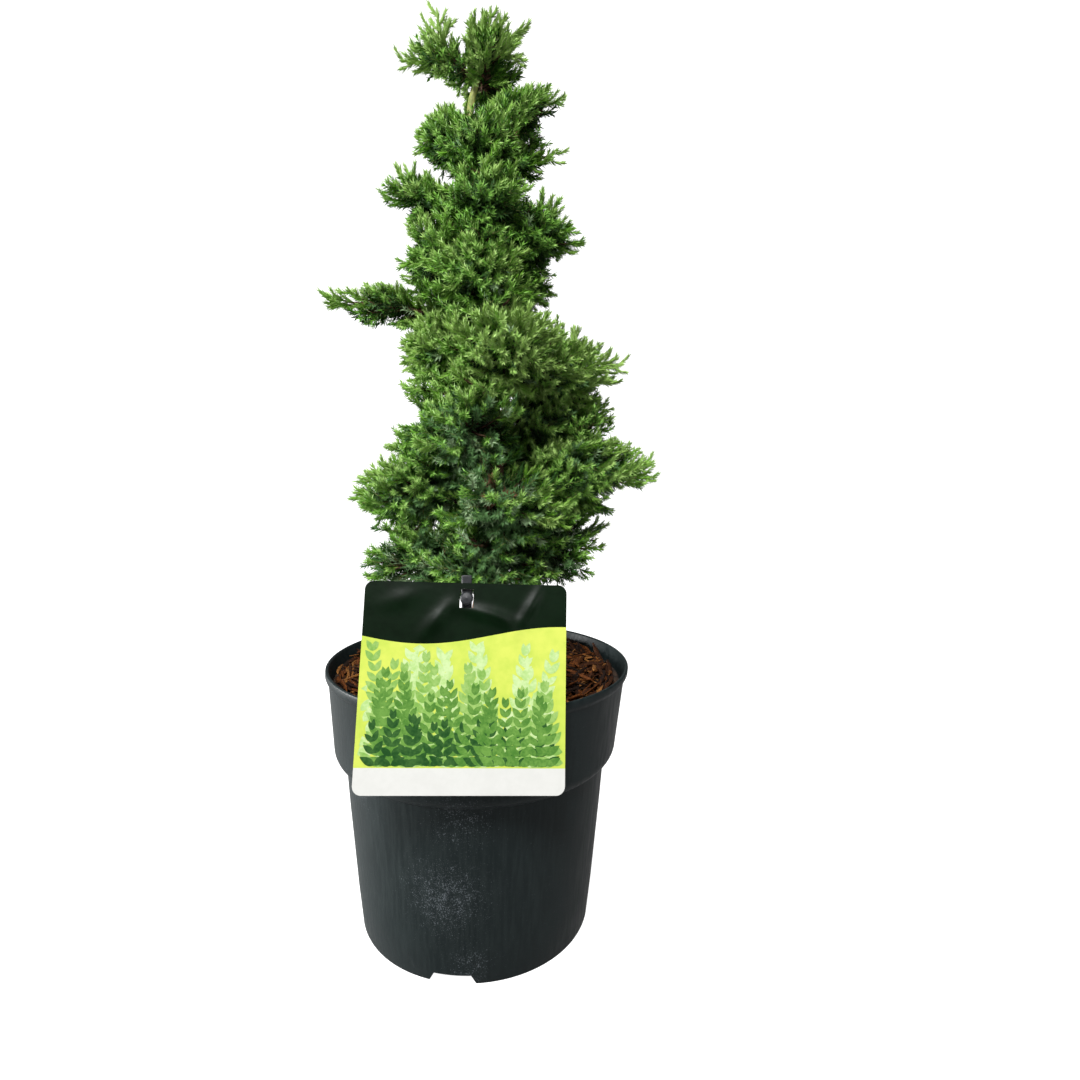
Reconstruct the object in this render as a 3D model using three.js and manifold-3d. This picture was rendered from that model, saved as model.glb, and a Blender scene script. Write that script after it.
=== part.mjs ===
// A dwarf garden juniper trained upright, in its round nursery pot, with a blank plant label.
// Millimetres, +Z up. The origin is the middle of the pot's flat underside, and the viewer of the
// label stands on the -Y side. Bearings are degrees round the stem from +X towards +Y, so 270 is
// the side with the label.
import * as THREE from "three";
import { mergeVertices } from "three/addons/utils/BufferGeometryUtils.js";
import Module from "manifold-3d";

const wasm = await Module();
wasm.setup();

// Driving dimensions
const GAP = 0.3; // between pieces that touch
const POT = {
  height: 188,
  footRadius: 82.6,
  collarBase: 124, // height where the wide collar starts
  collarFootRadius: 92.3,
  shoulderTop: 133.5, // height where the collar's wall runs straight
  shoulderRadius: 100,
  beadBase: 180,
  wallTopRadius: 103.6,
  beadRadius: 105.8,
  footWall: 2.8, // thickness of the foot's ring
  hubSlope: 2, // how far the boss's side runs out on its way up
  wall: 1.8,
  floorUnder: 8, // height of the floor's underside
  floorTop: 10.2,
  hubRadius: 24, // the flat boss in the middle of the underside
  sides: 32,
};
const NOTCH = { count: 3, bearing: 259.4, width: 31, topWidth: 24, height: 6.5, cutDepth: 16 };
const DRAIN = { count: 6, circle: 58, radius: 6.5, sides: 8 };
const SOIL_TOP = 177;
const TRUNK = { sides: 8, steps: 20, flareRadius: 13, flareHeight: 16, ribDepth: 0.22, ribTurn: 0.6 };
const BOUGH = { sides: 5, steps: 4, baseRadius: 3.1, tipRadius: 1.9, minOut: 38, entry: 0.82 };
// The label: lean and turn are degrees, middle and foot are where its lower edge lies.
const CARD = {
  width: 117,
  height: 118,
  thickness: 0.8,
  corner: 5,
  lean: 18.2,
  turn: 1.7,
  middle: -9.6,
  foot: 146.5,
  rimClear: 0.8, // between the label and the bead it leans on
};
const SLOT = { width: 8, height: 11, below: 3.5 }; // the hole near the label's top edge
const PEG = {
  width: 6,
  thickness: 2,
  foot: 148,
  footY: -92,
  top: 263,
  behind: 3.6, // how far the strip stands behind the label
  headRadius: 3.8,
  headDepth: 2.6,
  shankRadius: 2.2,
  shankSpare: 1.2, // how far the shank runs into the strip and the head
};
// A spray's needles stand out over this width, as a share of its length, with notches between them.
const SPRAY = {
  shortest: 15,
  longest: 32,
  share: 0.56, // of its shoot's length
  width: 0.6,
  needleAt: 0.64,
  notchAt: 0.72,
  notch: 0.26,
};
const SHOOTS = { fewest: 4, areaEach: 390, forkEvery: 12, leastOpen: 0.72, clear: 0.9, shortestRoom: 0.9 };
const TWIG = { baseRadius: 1.3, tipRadius: 0.75 };
const CORE = { share: 0.78, nearest: 0.95, rings: 3, sides: 6 };
const SEED = 20417;
const GOLDEN_TURN = Math.PI * (3 - Math.sqrt(5)); // each shoot stands this much further round

const COLOURS = {
  pot: { color: 0x2b3032, roughness: 0.55, metalness: 0 },
  soil: { color: 0x5a2f17, roughness: 0.95, metalness: 0 },
  bark: { color: 0x6d5036, roughness: 0.9, metalness: 0 },
  foliage: { color: 0x3c7a26, roughness: 0.6, metalness: 0 },
  label: { color: 0xc9dc4a, roughness: 0.3, metalness: 0 },
  peg: { color: 0x15191d, roughness: 0.5, metalness: 0 },
};

// The stem's line, from just under its flat cut to its tip, with its radius at each height.
const STEM = [
  { x: 0, y: 0, z: SOIL_TOP - 6, radius: 8.8 },
  { x: 2, y: 1, z: 205, radius: 7.8 },
  { x: 8, y: 2, z: 260, radius: 7.0 },
  { x: 12, y: 3, z: 320, radius: 6.1 },
  { x: 7, y: 2, z: 390, radius: 5.0 },
  { x: -1, y: 1, z: 460, radius: 3.8 },
  { x: -6, y: 0, z: 525, radius: 2.8 },
  { x: -5, y: 0, z: 562, radius: 2.2 },
  { x: 1, y: 0, z: 584, radius: 1.7 },
];

// The masses of foliage. bearing and out place the middle round the pot's axis, rise tilts the long
// axis up from level, and reach, breadth and depth are half sizes along, across and through it.
const MASSES = [
  { name: "crown_tip", bearing: 0, out: 6, height: 594, rise: 84, reach: 27, breadth: 24, depth: 22 },
  { name: "top_left", bearing: 190, out: 25, height: 584, rise: 16, reach: 29, breadth: 21, depth: 16 },
  { name: "top_back", bearing: 62, out: 20, height: 582, rise: 30, reach: 25, breadth: 24, depth: 24 },
  { name: "high_right", bearing: 352, out: 34, height: 555, rise: 12, reach: 30, breadth: 24, depth: 17 },
  { name: "high_left", bearing: 200, out: 22, height: 534, rise: 8, reach: 24, breadth: 24, depth: 22 },
  { name: "high_back", bearing: 112, out: 27, height: 547, rise: 20, reach: 28, breadth: 30, depth: 26 },
  { name: "high_front", bearing: 276, out: 24, height: 527, rise: 22, reach: 26, breadth: 28, depth: 24 },
  { name: "neck_right", bearing: 8, out: 28, height: 525, rise: 12, reach: 26, breadth: 24, depth: 16 },
  { name: "upper_left", bearing: 186, out: 41, height: 499, rise: 12, reach: 28, breadth: 24, depth: 16 },
  { name: "upper_right", bearing: 349, out: 41, height: 475, rise: 350, reach: 34, breadth: 30, depth: 24 },
  { name: "upper_front", bearing: 281, out: 31, height: 489, rise: 18, reach: 29, breadth: 32, depth: 27 },
  { name: "upper_back", bearing: 72, out: 33, height: 498, rise: 22, reach: 31, breadth: 40, depth: 30 },
  { name: "shoulder_left", bearing: 200, out: 31, height: 463, rise: 10, reach: 24, breadth: 32, depth: 30 },
  { name: "arm_left", bearing: 187, out: 66, height: 429, rise: 4, reach: 41, breadth: 26, depth: 16 },
  { name: "waist_right", bearing: 2, out: 29, height: 447, rise: 8, reach: 26, breadth: 30, depth: 24 },
  { name: "waist_front", bearing: 270, out: 35, height: 446, rise: 18, reach: 30, breadth: 36, depth: 27 },
  { name: "waist_back", bearing: 116, out: 39, height: 452, rise: 18, reach: 34, breadth: 44, depth: 32 },
  { name: "belt_left", bearing: 207, out: 31, height: 403, rise: 12, reach: 24, breadth: 38, depth: 36 },
  { name: "belt_front", bearing: 292, out: 48, height: 400, rise: 14, reach: 36, breadth: 44, depth: 30 },
  { name: "belt_right", bearing: 354, out: 58, height: 392, rise: 8, reach: 45, breadth: 34, depth: 24 },
  { name: "belt_back", bearing: 76, out: 49, height: 404, rise: 16, reach: 39, breadth: 50, depth: 36 },
  { name: "middle_left", bearing: 200, out: 29, height: 352, rise: 6, reach: 26, breadth: 40, depth: 34 },
  { name: "middle_right", bearing: 12, out: 58, height: 361, rise: 6, reach: 42, breadth: 40, depth: 29 },
  { name: "middle_front", bearing: 262, out: 42, height: 349, rise: 8, reach: 33, breadth: 44, depth: 32 },
  { name: "low_right", bearing: 352, out: 76, height: 322, rise: 2, reach: 53, breadth: 44, depth: 29 },
  { name: "low_left", bearing: 187, out: 48, height: 307, rise: 358, reach: 41, breadth: 40, depth: 29 },
  { name: "low_front", bearing: 292, out: 50, height: 303, rise: 6, reach: 35, breadth: 48, depth: 33 },
  { name: "low_back", bearing: 112, out: 52, height: 341, rise: 12, reach: 43, breadth: 54, depth: 40 },
  { name: "inner_back", bearing: 48, out: 42, height: 336, rise: 8, reach: 36, breadth: 36, depth: 34 },
  { name: "foot_left", bearing: 200, out: 46, height: 261, rise: 354, reach: 38, breadth: 40, depth: 29 },
  { name: "foot_right", bearing: 350, out: 51, height: 270, rise: 354, reach: 43, breadth: 44, depth: 33 },
  { name: "foot_front", bearing: 272, out: 42, height: 259, rise: 2, reach: 30, breadth: 46, depth: 24 },
  { name: "foot_back", bearing: 82, out: 48, height: 273, rise: 6, reach: 41, breadth: 50, depth: 34 },
];

const root = new THREE.Group();
const materials = Object.fromEntries(
  Object.entries(COLOURS).map(([name, look]) => [name, new THREE.MeshStandardMaterial(look)]),
);
const radians = THREE.MathUtils.degToRad;

function addMesh(name, geometry, material) {
  const mesh = new THREE.Mesh(geometry, materials[material]);
  mesh.name = name;
  root.add(mesh);
}

// Seeded random numbers from 0 to 1.
function randomSource(seed) {
  let state = seed >>> 0;
  return () => {
    state = (state + 0x6d2b79f5) >>> 0;
    let mixed = Math.imul(state ^ (state >>> 15), 1 | state);
    mixed = (mixed + Math.imul(mixed ^ (mixed >>> 7), 61 | mixed)) ^ mixed;
    return ((mixed ^ (mixed >>> 14)) >>> 0) / 4294967296;
  };
}

// A closed geometry as a solid, and a solid as a geometry
function solidFrom(geometry) {
  const bare = geometry.clone();
  bare.deleteAttribute("normal");
  bare.deleteAttribute("uv");
  const merged = mergeVertices(bare, 1e-4);
  return new wasm.Manifold(
    new wasm.Mesh({
      numProp: 3,
      vertProperties: merged.attributes.position.array,
      triVerts: new Uint32Array(merged.index.array),
    }),
  );
}

function geometryFrom(solid) {
  const { vertProperties, triVerts } = solid.getMesh();
  return new THREE.BufferGeometry()
    .setAttribute("position", new THREE.BufferAttribute(vertProperties, 3))
    .setIndex(new THREE.BufferAttribute(triVerts, 1));
}

function geometryOf(points, faces) {
  return new THREE.BufferGeometry()
    .setAttribute("position", new THREE.Float32BufferAttribute(points.flatMap((p) => p.toArray()), 3))
    .setIndex(faces.flat());
}

function largestBody(solid) {
  return solid.decompose().reduce((best, body) => (body.volume() > best.volume() ? body : best));
}

// A limb: rings along a curve, closed by flat ends. grow makes it fatter and longer all round.
function limbGeometry(curve, radiusAt, steps, sides, grow = 0) {
  const { normals, binormals, tangents } = curve.computeFrenetFrames(steps, false);
  const points = [];
  const faces = [];
  for (let i = 0; i <= steps; i++) {
    const t = i / steps;
    const middle = curve.getPointAt(t);
    if (i === 0) middle.addScaledVector(tangents[0], -grow);
    if (i === steps) middle.addScaledVector(tangents[steps], grow);
    for (let k = 0; k < sides; k++) {
      const angle = (2 * Math.PI * k) / sides;
      const radius = radiusAt(t, angle) + grow;
      points.push(
        middle
          .clone()
          .addScaledVector(normals[i], Math.cos(angle) * radius)
          .addScaledVector(binormals[i], Math.sin(angle) * radius),
      );
      if (i === steps) continue;
      const a = i * sides + k;
      const b = i * sides + ((k + 1) % sides);
      faces.push([a, b, b + sides], [a, b + sides, a + sides]);
    }
  }
  const last = steps * sides;
  for (let k = 1; k < sides - 1; k++) {
    faces.push([0, k + 1, k], [last, last + k, last + k + 1]);
  }
  return geometryOf(points, faces);
}

function makePot() {
  const wall = POT.wall;
  const shoulderRise = POT.shoulderTop - POT.collarBase;
  const shoulderRun = POT.shoulderRadius - POT.collarFootRadius;
  // The shoulder is a quarter of an ellipse that leaves the body level and ends upright.
  const shoulder = (inset, lift) =>
    [0, 0.5, 1].map((t) => {
      const angle = (t * Math.PI) / 2;
      return new THREE.Vector2(
        POT.collarFootRadius - inset + shoulderRun * Math.sin(angle),
        POT.collarBase + lift + shoulderRise * (1 - Math.cos(angle)),
      );
    });
  const profile = [
    new THREE.Vector2(0, 0),
    new THREE.Vector2(POT.hubRadius, 0),
    new THREE.Vector2(POT.hubRadius + POT.hubSlope, POT.floorUnder),
    new THREE.Vector2(POT.footRadius - POT.footWall + 0.2, POT.floorUnder),
    new THREE.Vector2(POT.footRadius - POT.footWall, 0),
    new THREE.Vector2(POT.footRadius - 0.8, 0),
    new THREE.Vector2(POT.footRadius, 1.4),
    ...shoulder(0, 0),
    new THREE.Vector2(POT.wallTopRadius, POT.beadBase),
    new THREE.Vector2(POT.beadRadius, POT.beadBase + 3),
    new THREE.Vector2(POT.beadRadius, POT.height - 0.8),
    new THREE.Vector2(POT.beadRadius - 0.9, POT.height),
    new THREE.Vector2(POT.beadRadius - wall - 0.4, POT.height - 0.6),
    new THREE.Vector2(POT.wallTopRadius - wall, POT.beadBase + 1),
    ...shoulder(wall, 1).reverse(),
    new THREE.Vector2(POT.footRadius - wall + 0.6, POT.floorTop),
    new THREE.Vector2(0, POT.floorTop),
  ];
  const turned = new THREE.LatheGeometry(profile, POT.sides).rotateX(Math.PI / 2);
  let pot = solidFrom(turned);
  for (let i = 0; i < NOTCH.count; i++) {
    const section = new THREE.Shape([
      new THREE.Vector2(-NOTCH.width / 2 - 0.5, -1),
      new THREE.Vector2(NOTCH.width / 2 + 0.5, -1),
      new THREE.Vector2(NOTCH.topWidth / 2, NOTCH.height),
      new THREE.Vector2(-NOTCH.topWidth / 2, NOTCH.height),
    ]);
    const cutter = new THREE.ExtrudeGeometry(section, { depth: NOTCH.cutDepth, bevelEnabled: false })
      .rotateX(Math.PI / 2)
      .translate(0, POT.footRadius + NOTCH.cutDepth / 2, 0)
      .rotateZ(radians(NOTCH.bearing - 90 + (360 / NOTCH.count) * i));
    pot = pot.subtract(solidFrom(cutter));
  }
  for (let i = 0; i < DRAIN.count; i++) {
    const angle = radians(NOTCH.bearing + (360 / DRAIN.count) * i);
    const cutter = new THREE.CylinderGeometry(DRAIN.radius, DRAIN.radius, POT.floorTop, DRAIN.sides)
      .rotateX(Math.PI / 2)
      .translate(DRAIN.circle * Math.cos(angle), DRAIN.circle * Math.sin(angle), POT.floorTop);
    pot = pot.subtract(solidFrom(cutter));
  }
  return pot;
}

// The root ball fills the pot a gap clear of its wall, and the label's peg is pushed into it.
function makeSoil(peg) {
  const inset = POT.wall + GAP;
  const wallSlope = (POT.wallTopRadius - POT.shoulderRadius) / (POT.beadBase - POT.shoulderTop);
  const wallFoot = POT.shoulderTop + 4;
  const wallRadius = POT.shoulderRadius - inset - 0.4;
  const profile = [
    new THREE.Vector2(0, POT.floorTop + GAP),
    new THREE.Vector2(POT.footRadius - inset, POT.floorTop + GAP),
    new THREE.Vector2(POT.collarFootRadius - inset - 0.2, POT.collarBase + 1),
    new THREE.Vector2(wallRadius, wallFoot),
    new THREE.Vector2(wallRadius + (SOIL_TOP - wallFoot) * wallSlope, SOIL_TOP),
    new THREE.Vector2(0, SOIL_TOP),
  ];
  const ball = solidFrom(new THREE.LatheGeometry(profile, POT.sides).rotateX(Math.PI / 2));
  return ball.subtract(peg);
}

// The stem
const stemPoints = STEM.map((p) => new THREE.Vector3(p.x, p.y, p.z));
const stemCurve = new THREE.CatmullRomCurve3(stemPoints, false, "centripetal");

function stemRadius(height) {
  const above = STEM.findIndex((p) => p.z >= height);
  if (above < 0) return STEM[STEM.length - 1].radius;
  if (above === 0) return STEM[0].radius;
  const [low, high] = [STEM[above - 1], STEM[above]];
  return THREE.MathUtils.mapLinear(height, low.z, high.z, low.radius, high.radius);
}

// Where the stem's middle is at a height.
function stemPoint(height) {
  let [low, high] = [0, 1];
  for (let i = 0; i < 30; i++) {
    const middle = (low + high) / 2;
    if (stemCurve.getPointAt(middle).z < height) low = middle;
    else high = middle;
  }
  return stemCurve.getPointAt(low);
}

// The root flare swells the foot into a few ribs.
function trunkRadius(t, angle) {
  const height = stemCurve.getPointAt(t).z;
  const flare = Math.exp(-(height - SOIL_TOP) / TRUNK.flareHeight);
  const ribs = 1 + TRUNK.ribDepth * Math.cos(3 * angle + TRUNK.ribTurn) * flare;
  return (stemRadius(height) + (TRUNK.flareRadius - STEM[0].radius) * Math.min(1, flare)) * ribs;
}

// The trunk is cut flat a gap above the soil.
function makeTrunk(grow = 0) {
  const depth = 40;
  const below = new THREE.BoxGeometry(80, 80, depth).translate(0, 0, SOIL_TOP + GAP - depth / 2);
  const limb = limbGeometry(stemCurve, trunkRadius, TRUNK.steps, TRUNK.sides, grow);
  return solidFrom(limb).subtract(solidFrom(below));
}

// Frames, boughs and spaces of the masses
function framed(mass) {
  const bearing = radians(mass.bearing);
  const rise = radians(mass.rise);
  const level = new THREE.Vector3(Math.cos(bearing), Math.sin(bearing), 0);
  const along = level.clone().multiplyScalar(Math.cos(rise)).setZ(Math.sin(rise));
  const across = new THREE.Vector3(-Math.sin(bearing), Math.cos(bearing), 0);
  const through = new THREE.Vector3().crossVectors(along, across);
  const middle = level.clone().multiplyScalar(mass.out).setZ(mass.height);
  const entry = middle.clone().addScaledVector(along, -BOUGH.entry * mass.reach);
  return { ...mass, along, across, through, middle, entry };
}

// How far a mass reaches from its middle in a direction.
function reachAlong(mass, direction) {
  const shares = [
    direction.dot(mass.along) / mass.reach,
    direction.dot(mass.across) / mass.breadth,
    direction.dot(mass.through) / mass.depth,
  ];
  return 1 / Math.hypot(...shares);
}

// A space is bounded by one plane towards each neighbour, set by how far the two reach to meet.
function spaceOf(mass, all) {
  const planes = [];
  for (const other of all) {
    if (other.name === mass.name) continue;
    const towards = other.middle.clone().sub(mass.middle);
    const apart = towards.length();
    towards.divideScalar(apart);
    const own = reachAlong(mass, towards);
    const theirs = reachAlong(other, towards);
    const offset = (apart * own) / (own + theirs) - GAP / 2;
    if (offset < 1.2 * own) planes.push({ normal: towards, offset: offset + towards.dot(mass.middle) });
  }
  return planes;
}

// How far a mass may go from its middle in a direction, and how much of its reach that leaves.
function roomIn(mass, direction) {
  const reach = reachAlong(mass, direction);
  let room = reach;
  for (const plane of mass.planes) {
    const slope = plane.normal.dot(direction);
    if (slope > 0) room = Math.min(room, (plane.offset - plane.normal.dot(mass.middle)) / slope);
  }
  return { room, open: room / reach };
}

// A bough leaves the stem below its mass, the lower the further out the mass is.
function boughCurve(mass) {
  const level = stemPoint(mass.entry.z);
  const run = Math.hypot(mass.entry.x - level.x, mass.entry.y - level.y);
  const foot = stemPoint(Math.max(SOIL_TOP + 26, mass.entry.z - 0.55 * run - 6));
  const bend = mass.entry.clone().addScaledVector(mass.along, -0.5 * foot.distanceTo(mass.entry));
  return new THREE.QuadraticBezierCurve3(foot, bend, mass.entry);
}

const boughRadius = (t) => THREE.MathUtils.lerp(BOUGH.baseRadius, BOUGH.tipRadius, t);

// A limb as some balls along its line, and how far clear of them a point is.
function ballsOf(curve, radiusAt, count) {
  return Array.from({ length: count + 1 }, (_, i) => ({
    middle: curve.getPointAt(i / count),
    radius: radiusAt(i / count, 0),
  }));
}

function clearOf(balls, point) {
  return Math.min(...balls.map((ball) => ball.middle.distanceTo(point) - ball.radius));
}

// One spray: a slim three-sided shoot from its root to its tip, with three needles standing out.
function sprayGeometry(base, tip, turn) {
  const length = base.distanceTo(tip);
  const heading = tip.clone().sub(base).divideScalar(length);
  const side = new THREE.Vector3(0, 0, 1).cross(heading).normalize();
  const other = new THREE.Vector3().crossVectors(heading, side);
  const half = 0.5 * SPRAY.width * length;
  const at = (along, out, angle) =>
    base
      .clone()
      .addScaledVector(heading, length * along)
      .addScaledVector(side, Math.cos(angle) * out)
      .addScaledVector(other, Math.sin(angle) * out);
  const points = [base, tip];
  const third = (2 * Math.PI) / 3;
  for (let k = 0; k < 3; k++) points.push(at(SPRAY.needleAt, half, turn + k * third));
  for (let k = 0; k < 3; k++) points.push(at(SPRAY.notchAt, half * SPRAY.notch, turn + (k + 0.5) * third));
  const faces = [];
  for (let k = 0; k < 3; k++) {
    const [needle, next, notch] = [2 + k, 2 + ((k + 1) % 3), 5 + k];
    faces.push([0, next, needle], [needle, next, notch], [1, needle, notch], [1, notch, next]);
  }
  return geometryOf(points, faces);
}

function twigGeometry(from, to, baseRadius = TWIG.baseRadius) {
  const curve = new THREE.LineCurve3(from, to);
  return limbGeometry(curve, (t) => THREE.MathUtils.lerp(baseRadius, TWIG.tipRadius, t), 1, 3);
}

// The dense middle of a mass: a rounded lump pulled in wherever it would leave the mass's space.
function coreGeometry(mass, random) {
  const { rings, sides } = CORE;
  const direction = (ring, side) => {
    const tilt = (Math.PI * ring) / rings;
    const turn = (2 * Math.PI * (side + 0.5 * (ring % 2))) / sides;
    return new THREE.Vector3()
      .addScaledVector(mass.along, Math.cos(tilt))
      .addScaledVector(mass.across, Math.sin(tilt) * Math.cos(turn))
      .addScaledVector(mass.through, Math.sin(tilt) * Math.sin(turn));
  };
  const placed = (towards) => {
    const { room, open } = roomIn(mass, towards);
    const far = room * Math.min(CORE.nearest, (CORE.share * (0.9 + 0.2 * random())) / open);
    return mass.middle.clone().addScaledVector(towards, far);
  };
  const points = [placed(direction(0, 0))];
  for (let ring = 1; ring < rings; ring++) {
    for (let side = 0; side < sides; side++) points.push(placed(direction(ring, side)));
  }
  points.push(placed(direction(rings, 0)));
  const faces = [];
  const last = points.length - 1;
  for (let side = 0; side < sides; side++) {
    const next = (side + 1) % sides;
    faces.push([0, 1 + side, 1 + next]);
    faces.push([last, last - sides + next, last - sides + side]);
  }
  for (let ring = 1; ring < rings - 1; ring++) {
    for (let side = 0; side < sides; side++) {
      const next = (side + 1) % sides;
      const [a, b] = [1 + (ring - 1) * sides + side, 1 + (ring - 1) * sides + next];
      const [c, d] = [a + sides, b + sides];
      if (ring % 2) faces.push([a, c, b], [b, c, d]);
      else faces.push([a, c, d], [a, d, b]);
    }
  }
  return geometryOf(points, faces);
}

// A mass grows from one stem. Its shoots spread evenly over it, each with a spray at its end, and
// every few shoots one forks into a second spray.
function makeMass(mass, limbs, cutter, number) {
  const random = randomSource(SEED + 97 * number);
  const inside = (geometry) => {
    const position = geometry.getAttribute("position");
    for (let i = 0; i < position.count; i++) {
      const p = new THREE.Vector3().fromBufferAttribute(position, i);
      if (mass.planes.some((plane) => plane.normal.dot(p) > plane.offset)) return false;
      if (limbs.some((balls) => clearOf(balls, p) < SHOOTS.clear)) return false;
    }
    return true;
  };
  const start = mass.bough ? mass.entry.clone().addScaledVector(mass.along, GAP) : stemPoint(mass.foot);
  const end = mass.middle.clone().addScaledVector(mass.along, mass.reach);
  const leaderFoot = mass.middle.clone().addScaledVector(mass.along, 0.3 * mass.reach);
  const pieces = [coreGeometry(mass, random)];
  pieces.push(twigGeometry(start, mass.middle, BOUGH.tipRadius));
  pieces.push(sprayGeometry(leaderFoot, end, random()));
  const area = mass.reach * mass.breadth + mass.breadth * mass.depth + mass.reach * mass.depth;
  const shoots = Math.round(SHOOTS.fewest + area / SHOOTS.areaEach);
  for (let i = 0; i < shoots; i++) {
    const height = 1 - (2 * (i + 0.5)) / shoots;
    const turn = GOLDEN_TURN * i + 0.6 * random();
    const level = Math.sqrt(1 - height * height);
    const towards = new THREE.Vector3()
      .addScaledVector(mass.along, height)
      .addScaledVector(mass.across, level * Math.cos(turn))
      .addScaledVector(mass.through, level * Math.sin(turn));
    const { room, open } = roomIn(mass, towards);
    const far = room * THREE.MathUtils.lerp(SHOOTS.shortestRoom, 1, random());
    const tip = mass.middle.clone().addScaledVector(towards, Math.min(far, room - 1));
    const foot = mass.middle.clone().addScaledVector(mass.along, (height - 0.4) * 0.3 * mass.reach);
    const length = foot.distanceTo(tip);
    const heading = tip.clone().sub(foot).divideScalar(length);
    const long = THREE.MathUtils.clamp(SPRAY.share * length, SPRAY.shortest, SPRAY.longest);
    const joint = tip.clone().addScaledVector(heading, -long);
    const spray = sprayGeometry(joint, tip, 2 * Math.PI * random());
    if (open < SHOOTS.leastOpen || !inside(spray)) continue;
    pieces.push(spray);
    if (i % SHOOTS.forkEvery) continue;
    const fork = foot.clone().lerp(joint, 0.5);
    const aside = new THREE.Vector3().crossVectors(heading, mass.along).setZ(0.6).normalize();
    const second = fork.clone().addScaledVector(heading.clone().add(aside), 0.7 * long);
    const bent = sprayGeometry(fork, second, 2 * Math.PI * random());
    const joined = joint.clone().addScaledVector(heading, 0.4 * long);
    if (inside(bent)) pieces.push(twigGeometry(foot, joined), bent);
  }
  const fused = wasm.Manifold.union(pieces.map(solidFrom));
  return largestBody(fused.subtract(cutter));
}

// The label leans back against the rim and hangs on a peg that stands in the soil behind it.
const cardRun = (POT.beadBase + 3 - CARD.foot) * Math.tan(radians(CARD.lean));
const cardFoot = new THREE.Vector3(
  CARD.middle,
  -(POT.beadRadius + CARD.rimClear) - cardRun - CARD.thickness,
  CARD.foot,
);
const cardMatrix = new THREE.Matrix4()
  .makeTranslation(cardFoot)
  .multiply(new THREE.Matrix4().makeRotationX(radians(90 - CARD.lean)))
  .multiply(new THREE.Matrix4().makeRotationZ(-radians(CARD.turn)));

function makeCard() {
  const { width, height, corner } = CARD;
  const outline = new THREE.Shape();
  outline.moveTo(-width / 2 + corner, 0);
  const corners = [
    [width / 2 - corner, corner, -Math.PI / 2],
    [width / 2 - corner, height - corner, 0],
    [-width / 2 + corner, height - corner, Math.PI / 2],
    [-width / 2 + corner, corner, Math.PI],
  ];
  for (const [x, y, start] of corners) outline.absarc(x, y, corner, start, start + Math.PI / 2, false);
  const slot = new THREE.Path([
    new THREE.Vector2(-SLOT.width / 2, height - SLOT.below - SLOT.height),
    new THREE.Vector2(-SLOT.width / 2, height - SLOT.below),
    new THREE.Vector2(SLOT.width / 2, height - SLOT.below),
    new THREE.Vector2(SLOT.width / 2, height - SLOT.below - SLOT.height),
  ]);
  outline.holes.push(slot);
  return new THREE.ExtrudeGeometry(outline, {
    depth: CARD.thickness,
    bevelEnabled: false,
    curveSegments: 4,
  }).applyMatrix4(cardMatrix);
}

function makePeg(grow = 0) {
  const slotHeight = CARD.height - SLOT.below - SLOT.height / 2;
  const slotMiddle = new THREE.Vector3(0, slotHeight, 0).applyMatrix4(cardMatrix);
  const top = new THREE.Vector3(slotMiddle.x, slotMiddle.y + PEG.behind + 1.4, PEG.top);
  const foot = new THREE.Vector3(slotMiddle.x, PEG.footY, PEG.foot);
  const length = top.distanceTo(foot);
  const lean = Math.atan2(top.y - foot.y, top.z - foot.z);
  const strip = new THREE.BoxGeometry(PEG.width + 2 * grow, PEG.thickness + 2 * grow, length + 2 * grow)
    .translate(0, 0, length / 2)
    .rotateX(-lean)
    .translate(foot.x, foot.y, foot.z);
  if (grow) return solidFrom(strip);
  const normal = new THREE.Vector3(0, 0, -1).transformDirection(cardMatrix).negate();
  const turned = new THREE.Quaternion().setFromUnitVectors(new THREE.Vector3(0, 1, 0), normal);
  const round = (radius, from, to, sides) =>
    new THREE.CylinderGeometry(radius, radius, to - from, sides)
      .translate(0, (from + to) / 2, 0)
      .applyQuaternion(turned)
      .translate(slotMiddle.x, slotMiddle.y, slotMiddle.z);
  const spare = PEG.shankSpare;
  const front = CARD.thickness + GAP;
  const shank = round(PEG.shankRadius, -PEG.behind - spare, CARD.thickness + spare, 8);
  const head = round(PEG.headRadius, front, front + PEG.headDepth, 10);
  return wasm.Manifold.union([solidFrom(strip), solidFrom(shank), solidFrom(head)]);
}

addMesh("pot", geometryFrom(makePot()), "pot");
addMesh("soil", geometryFrom(makeSoil(makePeg(GAP))), "soil");
addMesh("label_card", makeCard(), "label");
addMesh("label_peg", geometryFrom(makePeg()), "peg");
addMesh("trunk", geometryFrom(makeTrunk()), "bark");

const masses = MASSES.map(framed);
const trunkFat = makeTrunk(GAP + 0.05);
const limbs = [ballsOf(stemCurve, trunkRadius, 90)];
let cutter = trunkFat;
for (const mass of masses) {
  mass.planes = spaceOf(mass, masses);
  mass.bough = mass.out >= BOUGH.minOut;
  mass.foot = Math.min(STEM[STEM.length - 1].z, mass.height - 0.35 * mass.out);
  if (!mass.bough) continue;
  const curve = boughCurve(mass);
  const bough = solidFrom(limbGeometry(curve, boughRadius, BOUGH.steps, BOUGH.sides));
  addMesh("bough_" + mass.name, geometryFrom(largestBody(bough.subtract(trunkFat))), "bark");
  limbs.push(ballsOf(curve, boughRadius, 24));
  cutter = cutter.add(solidFrom(limbGeometry(curve, boughRadius, BOUGH.steps, BOUGH.sides, GAP + 0.05)));
}
masses.forEach((mass, number) => {
  addMesh("foliage_" + mass.name, geometryFrom(makeMass(mass, limbs, cutter, number)), "foliage");
});

export default root;
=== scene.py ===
"""A dwarf garden juniper trained upright, in its round nursery pot, with a plant label.

Sizes are in millimetres and bearings are degrees round the pot's axis from +X towards +Y, so 270 is
the side with the label. Meshes are turned into metres where they are made.
"""

import math

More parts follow.
